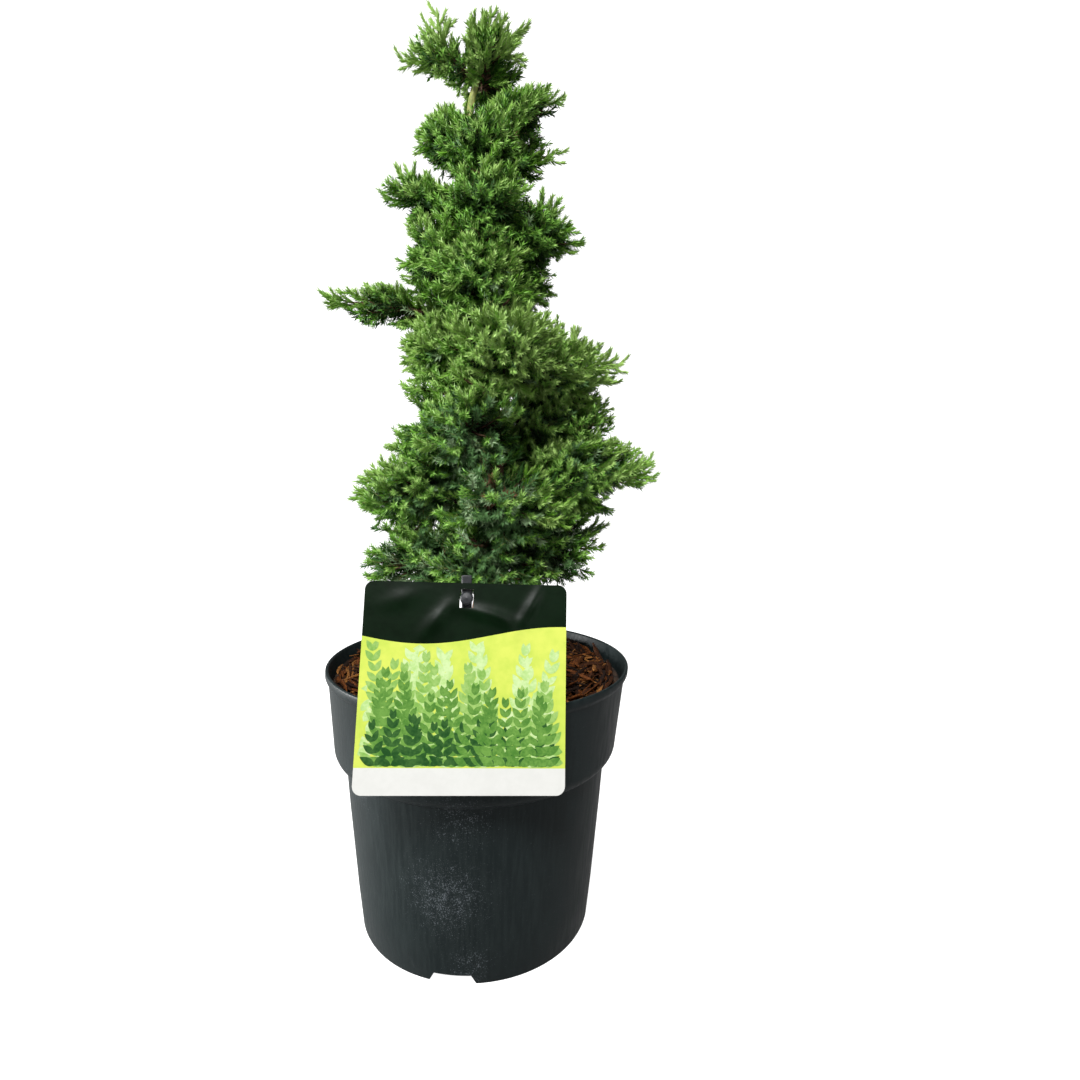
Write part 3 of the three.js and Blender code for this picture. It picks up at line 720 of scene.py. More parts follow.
def pot_profile():
    """Radius and height round the pot's section, from the underside out and back in."""
    lip = [
        (BEAD_RADIUS - LIP_ROUND * (1 - math.cos(angle)), POT_HEIGHT - LIP_ROUND * (1 - math.sin(angle)))
        for angle in np.linspace(0, 0.8 * math.pi, 8)
    ]
    taper = (COLLAR_FOOT_RADIUS - FOOT_RADIUS) / COLLAR_BASE
    body = [(FOOT_RADIUS + taper * height + 0.4, height) for height in (30, 60, 92)]
    return [
        (0.01, 0),
        (HUB_RADIUS - 1, 0),
        (HUB_RADIUS, 0.8),
        (HUB_RADIUS + 2, FLOOR_UNDER),
        (FOOT_RADIUS - 2.7, FLOOR_UNDER),
        (FOOT_RADIUS - 2.8, 0.4),
        (FOOT_RADIUS - 2.4, 0),
        (FOOT_RADIUS - 1.2, 0),
        (FOOT_RADIUS - 0.5, 0.3),
        (FOOT_RADIUS, 1.4),
        *body,
        *shoulder(0, 0),
        (WALL_TOP_RADIUS, BEAD_BASE),
        (WALL_TOP_RADIUS + 0.5, BEAD_BASE + 1.2),
        (BEAD_RADIUS - 0.5, BEAD_BASE + 2.6),
        (BEAD_RADIUS, BEAD_BASE + 4),
        *lip,
        (BEAD_RADIUS - WALL - 0.5, POT_HEIGHT - 1),
        (BEAD_RADIUS - WALL - 0.9, BEAD_BASE + 3.4),
        (WALL_TOP_RADIUS - WALL, BEAD_BASE + 1),
        *reversed(shoulder(WALL, 1)),
        (FOOT_RADIUS - WALL + 0.6, FLOOR_TOP),
        (0.01, FLOOR_TOP),
    ]


def turned(profile, sides):
    """A profile turned round the Z axis, as points and faces."""
    radius, height = np.array(profile).T
    angle = ring_angles(sides)
    points = np.stack(
        [
            radius[:, None] * np.cos(angle),
            radius[:, None] * np.sin(angle),
            np.repeat(height[:, None], sides, 1),
        ],
        -1,
    )
    return points.reshape(-1, 3), ring_faces(1, len(profile), sides)


def block(corners):
    """A closed mesh from the four corners of its front face and of its back face."""
    faces = [(0, 1, 2, 3), (7, 6, 5, 4), (0, 4, 5, 1), (1, 5, 6, 2), (2, 6, 7, 3), (3, 7, 4, 0)]
    return mesh_from("block", corners, faces)


def about_axis(points, bearing):
    """Points turned from the +X side to a bearing."""
    angle = math.radians(bearing)
    turn = np.array([[math.cos(angle), -math.sin(angle)], [math.sin(angle), math.cos(angle)]])
    points = np.array(points, float)
    points[:, :2] = points[:, :2] @ turn.T
    return points


def pot_plastic():
    """Dull black moulded plastic with faint upright streaks, grey dust and a few scuffs."""
    material, tree, shader = new_material("pot_plastic", 0.5, 0.12)
    dark, light = (0.0048, 0.0084, 0.0088), (0.0094, 0.0140, 0.0142)
    streaks = place_group(tree, FIBRES, Dark=dark, Light=light, Scale=420.0, Stretch=(1, 1, 0.06))
    colour = streaks.outputs["Colour"]
    # Patches of dust: place and reach in metres, how fine the specks are and how thick they lie.
    for place, reach, scale, cover in (
        ((-0.020, -0.088, 0.062), 0.050, 1500.0, 0.40),
        ((-0.004, -0.088, 0.014), 0.026, 1200.0, 0.38),
        ((-0.010, -0.095, 0.117), 0.040, 1300.0, 0.34),
        ((-0.075, -0.050, 0.120), 0.040, 1300.0, 0.28),
        ((0.040, 0.080, 0.070), 0.060, 1400.0, 0.34),
    ):
        specks = place_group(tree, DUST, Place=place, Reach=reach, Scale=scale, Cover=cover)
        colour = mix_node(tree, specks.outputs["Mask"], colour, (0.070, 0.080, 0.088))
    tree.links.new(colour, shader.inputs["Base Color"])
    worn = ramp_node(tree, streaks.outputs["Height"], 0.3, 0.7)
    gloss = tree.nodes.new("ShaderNodeMapRange")
    gloss.inputs["To Min"].default_value = 0.40
    gloss.inputs["To Max"].default_value = 0.54
    tree.links.new(worn, gloss.inputs["Value"])
    tree.links.new(gloss.outputs["Result"], shader.inputs["Roughness"])
    add_bump(tree, shader, streaks.outputs["Height"], 0.25, 0.15)
    return material


def notch_cutter(bearing):
    """A block with sloping sides that cuts a notch in the pot's foot."""
    half, top = NOTCH_WIDTH / 2 + 0.5, NOTCH_TOP_WIDTH / 2
    section = [(-half, -1), (half, -1), (top, NOTCH_HEIGHT), (-top, NOTCH_HEIGHT)]
    near, far = FOOT_RADIUS - NOTCH_CUT, FOOT_RADIUS + NOTCH_CUT
    corners = [(radius, across, height) for radius in (far, near) for across, height in section]
    return block(about_axis(corners, bearing))


def drain_cutter(bearing):
    """An upright round bar that cuts a hole in the pot's floor."""
    low, high = FLOOR_UNDER - 4, FLOOR_TOP + 3
    points, faces = turned([(0.01, low), (DRAIN_RADIUS, low), (DRAIN_RADIUS, high), (0.01, high)], 24)
    points[:, 0] += DRAIN_CIRCLE
    return mesh_from("hole", about_axis(points, bearing), faces)


def make_pot():
    """The nursery pot, with the notches in its foot and the holes in its floor cut through."""
    points, faces = turned(pot_profile(), POT_SIDES)
    # The lip is pressed in a little where the label hangs, swells to the sides and leans to the right.
    bearing = np.arctan2(points[:, 1], points[:, 0])
    give = np.clip((points[:, 2] - SHOULDER_TOP) / (POT_HEIGHT - SHOULDER_TOP), 0, 1) ** 2
    swell = 1 + LIP_SWELL * give * np.cos(2 * bearing)
    points[:, :2] *= swell[:, None]
    points[:, 0] += LIP_SHIFT * give
    pot = add_piece(mesh_from("pot", points, faces), "nursery_pot", [pot_plastic()], ["pot"], True)
    for number in range(NOTCH_COUNT):
        cut(pot, notch_cutter(NOTCH_BEARING + 360 / NOTCH_COUNT * number))
    for number in range(DRAIN_COUNT):
        cut(pot, drain_cutter(NOTCH_BEARING + 360 / DRAIN_COUNT * number))
    pot.data.set_sharp_from_angle(angle=math.radians(35))


# Soil and mulch


def mulch_height(x, y):
    """How high the mulch lies over a place in the pot."""
    away = np.hypot(x, y) / SHOULDER_RADIUS
    lumps = np.sin(x / 9.5 + 1.3) * np.cos(y / 8.0 - 0.4) + 0.6 * np.sin((x + y) / 5.2)
    return MULCH_EDGE + MULCH_HUMP * (1 - away**2) + MULCH_LUMPS * lumps


def make_root_ball():
    """Dark soil that fills the pot under the mulch."""
    wall = WALL + GAP
    rim = SHOULDER_RADIUS + SOIL_SPREAD - wall
    rings = [(0.01, FLOOR_TOP + GAP), (FOOT_RADIUS - wall, FLOOR_TOP + GAP)]
    rings += [(COLLAR_FOOT_RADIUS - wall - 0.2, COLLAR_BASE + 1)]
    rings += [(SHOULDER_RADIUS - wall - 0.4, SHOULDER_TOP + 4)]
    rings += [(rim * share, SOIL_TOP) for share in np.linspace(1, 0, 25)[:-1]] + [(0.01, SOIL_TOP)]
    points, faces = turned(rings, 96)
    top = points[:, 2] >= SOIL_TOP
    points[top, 2] = mulch_height(points[top, 0], points[top, 1]) - SOIL_UNDER
    soil = mottled("soil_dark", (0.010, 0.006, 0.004), (0.045, 0.024, 0.013), 160.0, 0.95, bump=1.2)
    add_piece(mesh_from("root_ball", points, faces), "root_ball", [soil], ["soil"], True)


def lie_of_shreds(random, count, lengths):
    """Where slivers of bark lie, how long they are, and their three directions."""
    far = (SHOULDER_RADIUS - 3) * np.sqrt(random.random(count))
    round_about = 2 * math.pi * random.random(count)
    middle = np.stack([far * np.cos(round_about), far * np.sin(round_about)], -1)
    length = random.uniform(*lengths, count)
    # Long slivers by the wall lie along it.
    by_wall = np.clip((far + length / 2 - 90) / 12, 0, 1)
    lies_along = random.random(count) < by_wall
    heading = np.where(lies_along, round_about + math.pi / 2, 2 * math.pi * random.random(count))
    tilt = random.normal(0.05, 0.17, count)
    along = np.stack([np.cos(heading) * np.cos(tilt), np.sin(heading) * np.cos(tilt), np.sin(tilt)], -1)
    roll = random.normal(0, 0.7, count)[:, None]
    level = unit(np.cross(UP, along))
    upright = np.cross(along, level)
    across = level * np.cos(roll) + upright * np.sin(roll)
    upward = upright * np.cos(roll) - level * np.sin(roll)
    return middle, length, along, across, upward


def sliver_faces(count):
    """The faces of slivers with five rings of four points each."""
    sides = [
        [ring * 4 + k, ring * 4 + (k + 1) % 4, ring * 4 + 4 + (k + 1) % 4, ring * 4 + 4 + k]
        for ring in range(4)
        for k in range(4)
    ]
    ends = [[3, 2, 1, 0], [16, 17, 18, 19]]
    faces = np.array(sides + ends)[None] + (np.arange(count) * 20)[:, None, None]
    return faces.reshape(-1, 4)


def shreds(random, count, lengths, widths, lift):
    """Torn slivers of bark lying on the mulch in all directions, as points and faces."""
    middle, length, along, across, upward = lie_of_shreds(random, count, lengths)
    height = mulch_height(middle[:, 0], middle[:, 1]) + random.uniform(-1.5, lift, count)
    centre = np.concatenate([middle, height[:, None]], 1)
    width = random.uniform(*widths, count)
    thickness = random.uniform(0.5, 1.3, count)
    bow = random.normal(0, 0.08, count) * length
    # Each sliver is bowed, and narrows to its two ends.
    stations = np.array([-0.5, -0.34, -0.05, 0.3, 0.5])
    spread = np.array([0.25, 0.85, 1.0, 0.8, 0.2]) * random.uniform(0.75, 1.15, (count, 5))
    corners = np.array([(-0.5, -0.5), (0.5, -0.5), (0.5, 0.5), (-0.5, 0.5)])
    curve = (1 - 4 * stations**2) * bow[:, None]
    line = centre[:, None] + along[:, None] * (stations * length[:, None])[..., None]
    line = line + across[:, None] * curve[..., None]
    wide = (spread * width[:, None])[:, :, None] * corners[:, 0]
    thick = (spread**0.5 * thickness[:, None])[:, :, None] * corners[:, 1]
    points = line[:, :, None] + across[:, None, None] * wide[..., None]
    points = points + upward[:, None, None] * thick[..., None]
    away = np.hypot(points[..., 0], points[..., 1])
    inside = away.max((1, 2)) < SHOULDER_RADIUS + 1.2
    clear = away.min((1, 2)) > FLARE_RADIUS - 2
    points = points[inside & clear]
    return points.reshape(-1, 3), sliver_faces(len(points))


def make_mulch():
    """Shredded bark over the soil, in four tones."""
    random = np.random.default_rng(311)
    tones = (
        ("rust", (0.028, 0.007, 0.001), (0.105, 0.032, 0.005), 520),
        ("tan", (0.080, 0.029, 0.006), (0.200, 0.085, 0.021), 190),
        ("brown", (0.010, 0.003, 0.0008), (0.042, 0.013, 0.003), 560),
        ("dark", (0.004, 0.002, 0.001), (0.014, 0.005, 0.002), 400),
    )
    for tone, dark, light, count in tones:
        wood = fibrous("mulch_" + tone, dark, light, 900.0, (1, 1, 1), 0.85, 0.3)
        long = shreds(random, count, (11, 36), (1.6, 4.6), 3.2)
        short = shreds(random, count, (3, 11), (1.0, 3.6), 2.6)
        points, faces = stacked([long, short])
        add_piece(mesh_from("mulch", points, faces), "mulch_" + tone, [wood], ["soil"])


# The stem and the boughs


def stem_line(height):
    """x, y, z and radius of the stem at each height, on a smooth line through the rows of STEM."""
    height = np.atleast_1d(np.asarray(height, float))
    known = STEM[:, 2]
    row = np.clip(np.searchsorted(known, height) - 1, 0, len(known) - 2)
    step = (known[row + 1] - known[row])[:, None]
    share = np.clip((height - known[row]) / step[:, 0], 0, 1)[:, None]
    place = STEM[:, :2]
    slope = np.gradient(place, known, axis=0)
    # How much the two nearest rows count, each with its place and with its slope.
    low_place = 2 * share**3 - 3 * share**2 + 1
    low_slope = share**3 - 2 * share**2 + share
    high_place = -2 * share**3 + 3 * share**2
    high_slope = share**3 - share**2
    spot = low_place * place[row] + low_slope * step * slope[row]
    spot = spot + high_place * place[row + 1] + high_slope * step * slope[row + 1]
    radius = np.interp(height, known, STEM[:, 3])
    return np.column_stack([spot, np.clip(height, known[0], known[-1]), radius])


def ridges(line, sides, random):
    """Bark relief: upright ridges that wander and fade out, as a share of the radius."""
    rings = len(line)
    angle = ring_angles(sides)
    run = np.concatenate([[0], np.cumsum(np.linalg.norm(np.diff(line, axis=0), axis=1))])[:, None]
    relief = np.zeros((rings, sides))
    for waves, depth in ((3, 0.05), (5, 0.05), (9, 0.045), (14, 0.035)):
        drift = 0.8 * np.sin(run / random.uniform(14, 40) + random.uniform(0, 6))
        fade = 0.6 + 0.4 * np.sin(run / random.uniform(6, 18) + random.uniform(0, 6))
        relief += depth * fade * np.abs(np.sin((waves * angle + drift + random.uniform(0, 6)) / 2))
    return relief + random.normal(0, 0.012, relief.shape)


def bezier(start, bend, end, share):
    """Points on a curve with one bend."""
    share = np.asarray(share, float)[..., None]
    return (1 - share) ** 2 * start + 2 * share * (1 - share) * bend + share**2 * end


class Mass:
    """One mass of foliage: its frame, the bough that carries it and the room it has."""

    def __init__(self, name, row):
        bearing, out, height, rise, reach, breadth, depth = row
        bearing, rise = math.radians(bearing), math.radians(rise)
        level = np.array([math.cos(bearing), math.sin(bearing), 0])
        self.name = name
        self.along = level * math.cos(rise) + UP * math.sin(rise)
        self.across = np.array([-math.sin(bearing), math.cos(bearing), 0])
        self.through = np.cross(self.along, self.across)
        self.axes = np.stack([self.along, self.across, self.through])
        self.sizes = np.array([reach, breadth, depth], float)
        self.middle = level * out + UP * height
        self.entry = self.middle - self.along * BOUGH_ENTRY * reach
        self.area = reach * breadth + breadth * depth + reach * depth
        self.has_bough = out >= BOUGH_MIN_OUT
        self.foot = stem_line(min(STEM[-1, 2], height - MASS_RISE * out))[0, :3]
        self.openness = OPENNESS.get(name, 0.0)
        self.lit_and_fresh = LIGHT_AND_FRESHNESS.get(name, 0.0)
        self.neighbours = []
        self.normals = np.zeros((0, 3))
        self.offsets = np.zeros(0)

    def reach_along(self, directions):
        """How far the mass reaches from its middle in each direction."""
        return 1 / np.linalg.norm(directions @ self.axes.T / self.sizes, axis=-1)

    def depth_of(self, points):
        """Where points lie in the mass: 0 at its middle and 1 on its surface."""
        return np.linalg.norm((points - self.middle) @ self.axes.T / self.sizes, axis=-1)

    def facing(self, other):
        """The way to another mass, how far off its middle is, and how far each reaches on that line."""
        towards = other.middle - self.middle
        apart = np.linalg.norm(towards)
        towards = towards / apart
        return towards, apart, self.reach_along(towards), other.reach_along(towards)

    def meet(self, others):
        """Bounds the mass by a plane towards each neighbour, where the two reach to meet."""
        self.neighbours = [other for other in others if other is not self]
        normals, offsets = [], []
        for other in self.neighbours:
            towards, apart, own, theirs = self.facing(other)
            offset = apart * own / (own + theirs)
            # Masses that only just miss each other have a plane between them too.
            if offset < 1.2 * own:
                normals.append(towards)
                offsets.append(offset + towards @ self.middle)
        self.normals, self.offsets = np.array(normals).reshape(-1, 3), np.array(offsets)

    def room(self, direction):
        """How far the mass may go from its middle in a direction, and how much of its reach that is."""
        reach = self.reach_along(direction)
        slope = self.normals @ direction
        ahead = slope > 0
        left = (self.offsets[ahead] - self.normals[ahead] @ self.middle) / slope[ahead]
        room = min(reach, left.min()) if len(left) else reach
        return room, room / reach

    def holds(self, point, reach):
        """Whether a point is in the mass, or a little past where it meets a neighbour.

        reach is how far out the mass goes here, as a share of its own reach.
        """
        if self.depth_of(point) > reach:
            return False
        if reach >= SPRAY_REACH:
            return True
        spare = MEETING_SPARE if reach > 1.0 else SPARE
        return bool(np.all(self.normals @ point < self.offsets + spare))


def bough_line(mass, share):
    """A bough leaves the stem below its mass, the lower the further out the mass is."""
    level = stem_line(mass.entry[2])[0, :3]
    run = math.hypot(*(mass.entry - level)[:2])
    foot = stem_line(max(SOIL_TOP + BOUGH_CLEAR, mass.entry[2] - BOUGH_RISE * run - 6))[0, :3]
    bend = mass.entry - mass.along * 0.5 * np.linalg.norm(mass.entry - foot)
    return bezier(foot, bend, mass.entry, share)


def make_limbs(masses):
    """The stem and the boughs, with the relief of peeling bark."""
    random = np.random.default_rng(72)
    brown, pale = (0.030, 0.016, 0.009), (0.150, 0.090, 0.054)
    bark = fibrous("bark_brown", brown, pale, 260.0, (1, 1, 0.16), 0.88, 1.0)
    young = mottled("bark_green", (0.120, 0.150, 0.035), (0.260, 0.270, 0.080), 140.0, 0.6, bump=0.3)
    boughs = [mass for mass in masses if mass.has_bough]

    def stem_part(low, high, rings, sides):
        """The stem between two heights, with its flare and relief."""
        line = stem_line(np.linspace(low, high, rings))
        flare = np.exp(-(line[:, 2:3] - SOIL_TOP) / FLARE_HEIGHT)
        angle = ring_angles(sides)
        ribs = 1 + 0.22 * np.cos(3 * angle + 0.6) * flare
        radius = (line[:, 3:4] + (FLARE_RADIUS - STEM[0, 3]) * flare) * ribs
        radius = radius * (1 + ridges(line[:, :3], sides, random) - RELIEF_MEAN)
        return tubes(line[None, :, :3], radius[None], sides)

    parts = [stem_part(SOIL_TOP + GAP, GREEN_STEM_FROM, 190, 40)]
    for mass in boughs:
        line = bough_line(mass, np.linspace(0, 1, 34))
        radius = np.linspace(BOUGH_BASE_RADIUS, BOUGH_TIP_RADIUS, 34)[:, None]
        radius = radius * (1 + ridges(line, 16, random) - RELIEF_MEAN)
        parts.append(tubes(line[None], radius[None], 16))
    names = ["trunk"] + ["bough_" + mass.name for mass in boughs]
    add_piece(mesh_from("limbs", *stacked(parts)), "stem_and_boughs", [bark], names, True)
    points, faces = stem_part(GREEN_STEM_FROM, STEM[-1, 2], 40, 20)
    add_piece(mesh_from("stem_top", points, faces), "stem_top", [young], ["trunk"], True)


# Twigs, shoots and needles


def seam_fans(mass, other, random):
    """Foot and tip of the fans that close the notch between two masses that meet.

    They stand round the line between the two middles, and each ends where its way leaves the mass.
    """
    towards, apart, own, theirs = mass.facing(other)
    share = own / (own + theirs)
    if apart * share > own:
        return
    centre = mass.middle + towards * apart * share
    first = unit(np.cross(towards, mass.along + 0.01))
    second = np.cross(towards, first)
    steps = np.linspace(0.1, 1.2, 56)
    count = round(2 * math.pi * min(mass.sizes.min(), other.sizes.min()) / SEAM_STEP)
    for number in range(count):
        turn = 2 * math.pi * (number + 0.5 * random.random()) / count
        way = first * math.cos(turn) + second * math.sin(turn)
        run = steps[:, None] * mass.sizes.max() * way
        inside = mass.depth_of(centre + run) < 1
        if not inside.any():
            continue
        edge = run[np.flatnonzero(inside)[-1]]
        tip = centre + edge * SEAM_REACH
        outward = tip[:2] @ way[:2] > 0
        if outward:
            yield centre + edge * 0.3 - UP * 3, tip


class Growth:
    """Collects stems, twigs and shoots as the masses grow.

    A shoot is its base, its tip, how far its middle is pushed aside, its tone from 0, deep, to 1, bright,
    and how coarse and how long its needles are.
    """

    def __init__(self):
        self.stems = []
        self.twigs = []
        self.shoots = []


def in_hollow(point):
    """Whether a point lies in one of the hollows."""
    away = np.hypot(HOLLOWS[:, 0] - point[0], HOLLOWS[:, 1] - point[2])
    return bool(np.any((away < HOLLOWS[:, 2]) & (point[1] < HOLLOWS[:, 3])))


def grow_fan(growth, mass, foot, tip, brightness, coarse, reach, random):
    """One twig that ends in a fan of shoots, which may go as far from the mass's middle as reach says."""
    length = np.linalg.norm(tip - foot)
    heading = (tip - foot) / length
    bend = foot + heading * 0.5 * length - UP * random.uniform(0.0, TWIG_SAG) * length
    if in_hollow(bezier(foot, bend, tip, 0.75)):
        return
    fan = min(random.uniform(*FAN_LENGTH), 0.9 * length)
    end_share = 1 - min(0.6, random.uniform(*END_SHOOT) / length)
    end_base = bezier(foot, bend, tip, end_share)
    middle = bezier(foot, bend, tip, (1 + end_share) / 2)
    shoots = [(end_base, tip, middle - (end_base + tip) / 2, brightness + END_BRIGHTER, coarse, 1.0)]
    # The fan's shoots stand to its two sides in turn, longest where it starts, and some to its face.
    level = unit(np.cross(heading, UP + 0.01))
    tilt = random.normal(0, FAN_TWIST)
    hand = level * math.cos(tilt) + np.cross(level, heading) * math.sin(tilt)
    count = max(3, round(fan / SHOOT_SPACING))
    side = 1 if random.random() < 0.5 else -1
    for number in range(count):
        position = (number + 0.5 * random.random()) / count
        share = 1 - fan * (1 - 0.82 * position) / length
        base = bezier(foot, bend, tip, share)
        ahead = unit(bezier(foot, bend, tip, share + 0.03) - base)
        side = -side
        aside = unit(hand * side + np.cross(ahead, hand) * random.normal(0.1, SIDE_TWIST))
        open_angle = math.radians(random.uniform(*FAN_OPENS))
        way = unit(ahead * math.cos(open_angle) + aside * math.sin(open_angle) + UP * SHOOT_LIFT)
        long = random.uniform(*SIDE_SHOOT) * (1.2 - 0.45 * position)
        for shorter in SHORTER:
            end = base + way * long * shorter
            if mass.holds(end, reach) and not in_hollow(end):
                # Painted shade: shoots deeper in the mass are darker.
                outward = TONE_OUTWARD * (mass.depth_of(end) - 0.85)
                tone = brightness + outward + random.normal(0, TONE_SPREAD)
                drop = -UP * SHOOT_SAG * long * shorter
                shoots.append((base, end, drop, tone, coarse, 0.85 + 0.15 * shorter))
                break
    if len(shoots) > FEWEST_SHOOTS:
        growth.twigs.append(np.stack([foot, bend, tip]))
        growth.shoots += [(*base, *end, *bow, *rest) for base, end, bow, *rest in shoots]


def grow_layer(growth, mass, layer, random):
    """The fans that end in one layer of a mass, spread evenly over it."""
    far, amount, shine, coarse = layer
    count = round(amount * mass.area / FAN_AREA)
    first_turn = random.uniform(0, 2 * math.pi)
    for i in range(count):
        height = 1 - 2 * (i + random.uniform(0.2, 0.8)) / count
        turn = first_turn + GOLDEN_TURN * i + 0.5 * random.random()
        level = math.sqrt(1 - height * height)
        towards = mass.along * height
        towards = towards + mass.across * level * math.cos(turn) + mass.through * level * math.sin(turn)
        room, open_share = mass.room(towards)
        out = room * far * (1 - FAN_SHORT * random.random() ** 1.5)
        tip = mass.middle + towards * min(room - 0.5, out)
        # The fan leaves the mass's own stem, further along it the more it points that way.
        foot = mass.middle + mass.along * (0.3 * (height - 0.4) - 0.3) * mass.sizes[0]
        buried = min(other.depth_of(tip) for other in mass.neighbours)
        inward = tip[:2] @ mass.middle[:2] < 0
        deep = buried < (BURIED_INWARD if inward else BURIED)
        if open_share < LEAST_ROOM or deep or in_hollow(tip):
            continue
        skip = UNDERSIDE_SKIP * (towards[2] < UNDERSIDE and buried > FREE) + mass.openness
        if random.random() < skip:
            continue
        # The fan's tone carries painted light and shade: brighter when it points up or stands clear, and
        # set by its layer and its mass.
        brightness = shine + mass.lit_and_fresh + TONE_UPWARD * towards[2] + random.normal(0, 0.09)
        brightness += TONE_FREE * (min(buried, 1.6) - 1.0)
        reach = MEETING_REACH if buried < MEETING_WITHIN else 1.0
        grow_fan(growth, mass, foot, tip, brightness, coarse, reach, random)


def grow_sprays(growth, mass, random):
    """The single sprays of a mass that stand out of the crown's outline."""
    for bearer, x, height in SPRAYS:
        if bearer == mass.name:
            tip = np.array((x, mass.middle[1], height))
            foot = mass.middle + (tip - mass.middle) * 0.2
            grow_fan(growth, mass, foot, tip, SPRAY_BRIGHTNESS + mass.lit_and_fresh, 1.0, SPRAY_REACH, random)


def grow_seams(growth, mass, others, random):
    """The fans that close the notches between a mass and others."""
    for other in others:
        if max(mass.openness, other.openness) > SEAMLESS:
            continue
        rest = [third for third in mass.neighbours if third is not other]
        for foot, tip in seam_fans(mass, other, random):
            if min(third.depth_of(tip) for third in rest) > SEAM_CLEAR and not in_hollow(tip):
                brightness = SEAM_BRIGHTNESS + mass.lit_and_fresh + random.normal(0, TONE_SPREAD)
                grow_fan(growth, mass, foot, tip, brightness, SEAM_COARSE, MEETING_REACH, random)


def grow_mass(growth, mass, later, random):
    """The source's rule: shoots spread evenly over the mass from one stem, here carried to finer twigs.

    A seam grows with the first of its two masses, so later is the masses that come after this one.
    """
    start = mass.entry if mass.has_bough else mass.foot
    stem_end = mass.middle + mass.along * 0.25 * mass.sizes[0]
    growth.stems.append(np.stack([start, (start + mass.middle) / 2, stem_end]))
    for layer in LAYERS:
        grow_layer(growth, mass, layer, random)
    grow_sprays(growth, mass, random)
    grow_seams(growth, mass, later, random)


def needle_arrays(table, random):
    """Every needle of every shoot: root, heading, inner side, length, width, tone and shoot."""
    base, tip, bend = table[:, 0:3], table[:, 3:6], table[:, 6:9]
    tone, coarse, size = table[:, 9], table[:, 10], table[:, 11]
    # The last needles reach the shoot's tip, so its stalk ends short of it.
    length = np.linalg.norm(tip - base, axis=1)
    stalk = np.clip(1 - 0.8 * NEEDLE_LENGTH * size / length, 0.45, 1)
    tip = base + (tip - base) * stalk[:, None]
    whorls = np.maximum(2, np.round(length * stalk / (WHORL_SPACING * coarse))).astype(int)
    owner = np.repeat(np.arange(len(table)), whorls * 3)
    start = np.repeat(np.cumsum(whorls * 3) - whorls * 3, whorls * 3)
    order = np.arange(len(owner)) - start
    whorl, blade = order // 3, order % 3
    share = (whorl + 0.35 + random.uniform(-0.2, 0.2, len(owner))) / whorls[owner]
    share = np.clip(share, 0.02, 0.99)[:, None]
    arc = 4 * share * (1 - share)
    line = (tip - base)[owner]
    root = base[owner] + line * share + bend[owner] * arc
    along = unit(line + bend[owner] * 4 * (1 - 2 * share))
    first = unit(np.cross(along, off_axis(line)))
    second = np.cross(along, first)
    turn = whorl * math.pi / 3 + blade * 2 * math.pi / 3 + random.normal(0, 0.22, len(owner)) + owner
    out = first * np.cos(turn)[:, None] + second * np.sin(turn)[:, None]
    # Needles lie closer on fresh shoots, and close up round every shoot's tip.
    splay = NEEDLE_SPLAY - SPLAY_FRESH * np.clip(tone[owner], 0, 1) - SPLAY_TIP * share[:, 0] ** 2
    splay = np.radians(splay + random.normal(0, 5, len(owner)))
    heading = unit(along * np.cos(splay)[:, None] + out * np.sin(splay)[:, None])
    inner = unit(along - heading * np.sum(along * heading, axis=1, keepdims=True))
    swell = 0.86 + 0.18 * np.sin(math.pi * np.clip(share[:, 0] + 0.1, 0, 1))
    long = NEEDLE_LENGTH * swell * size[owner] * random.uniform(0.85, 1.12, len(owner))
    wide = NEEDLE_WIDTH * coarse[owner] ** 0.6 * random.uniform(0.85, 1.1, len(owner))
    wide = wide * (0.8 + 0.25 * np.clip(tone[owner], 0, 1))
    level = tone[owner] + TIP_BRIGHTER * (share[:, 0] - 0.5) + random.normal(0, 0.05, len(owner))
    return root, heading, inner, long, wide, level, owner


def needle_mesh(name, root, heading, inner, long, wide):
    """Needles as folded blades: widest below the middle, pointed, and hollow along the inner side."""
    side = np.cross(heading, inner)
    belly = root + heading * (0.36 * long)[:, None] + inner * (0.16 * wide)[:, None]
    half = side * (0.5 * wide)[:, None]
    tip = root + heading * long[:, None]
    points = np.stack([root, belly + half, belly - half, tip], 1).reshape(-1, 3)
    first = np.arange(len(root))[:, None] * 4
    faces = np.concatenate([first + [0, 3, 1], first + [0, 2, 3]], 1).reshape(-1, 3)
    return mesh_from(name, points, faces)


def make_twigs(growth, nodes):
    """The stems in the masses and all their twigs, as one piece."""
    dark, light = (0.020, 0.012, 0.006), (0.075, 0.042, 0.022)
    bark = fibrous("twig_bark", dark, light, 500.0, (1, 1, 0.3), 0.8, 0.4)

    def curves(rows, rings):
        """Rings along curves that are each given by their start, bend and end."""
        rows = np.array(rows)
        share = np.linspace(0, 1, rings)[None, :]
        return bezier(rows[:, 0:1], rows[:, 1:2], rows[:, 2:3], share)

    stems = curves(growth.stems, 8)
    thick = np.linspace(BOUGH_TIP_RADIUS, 1.0, 8)[None].repeat(len(stems), 0)
    # A twig's last third is its end shoot, which has a stalk of its own.
    twigs = curves(growth.twigs, 4)[:, :3]
    thin = np.linspace(TWIG_BASE_RADIUS, TWIG_TIP_RADIUS, 3)[None].repeat(len(twigs), 0)
    wood = stacked([tubes(stems, thick, 6), tubes(twigs, thin, 3)])
    add_piece(mesh_from("twigs", *wood), "twigs", [bark], nodes, True)


def make_stalks(table, nodes):
    """The green stalks of the shoots, as one piece."""
    base, tip, bend = table[:, 0:3], table[:, 3:6], table[:, 6:9]
    green = mottled("stalk_green", (0.075, 0.095, 0.025), (0.150, 0.170, 0.045), 300.0, 0.6)
    stalks = spikes(base, base + (tip - base) * 0.8 + bend * 0.6, SHOOT_RADIUS)
    add_piece(mesh_from("stalks", *stalks), "stalks", [green], nodes, True)


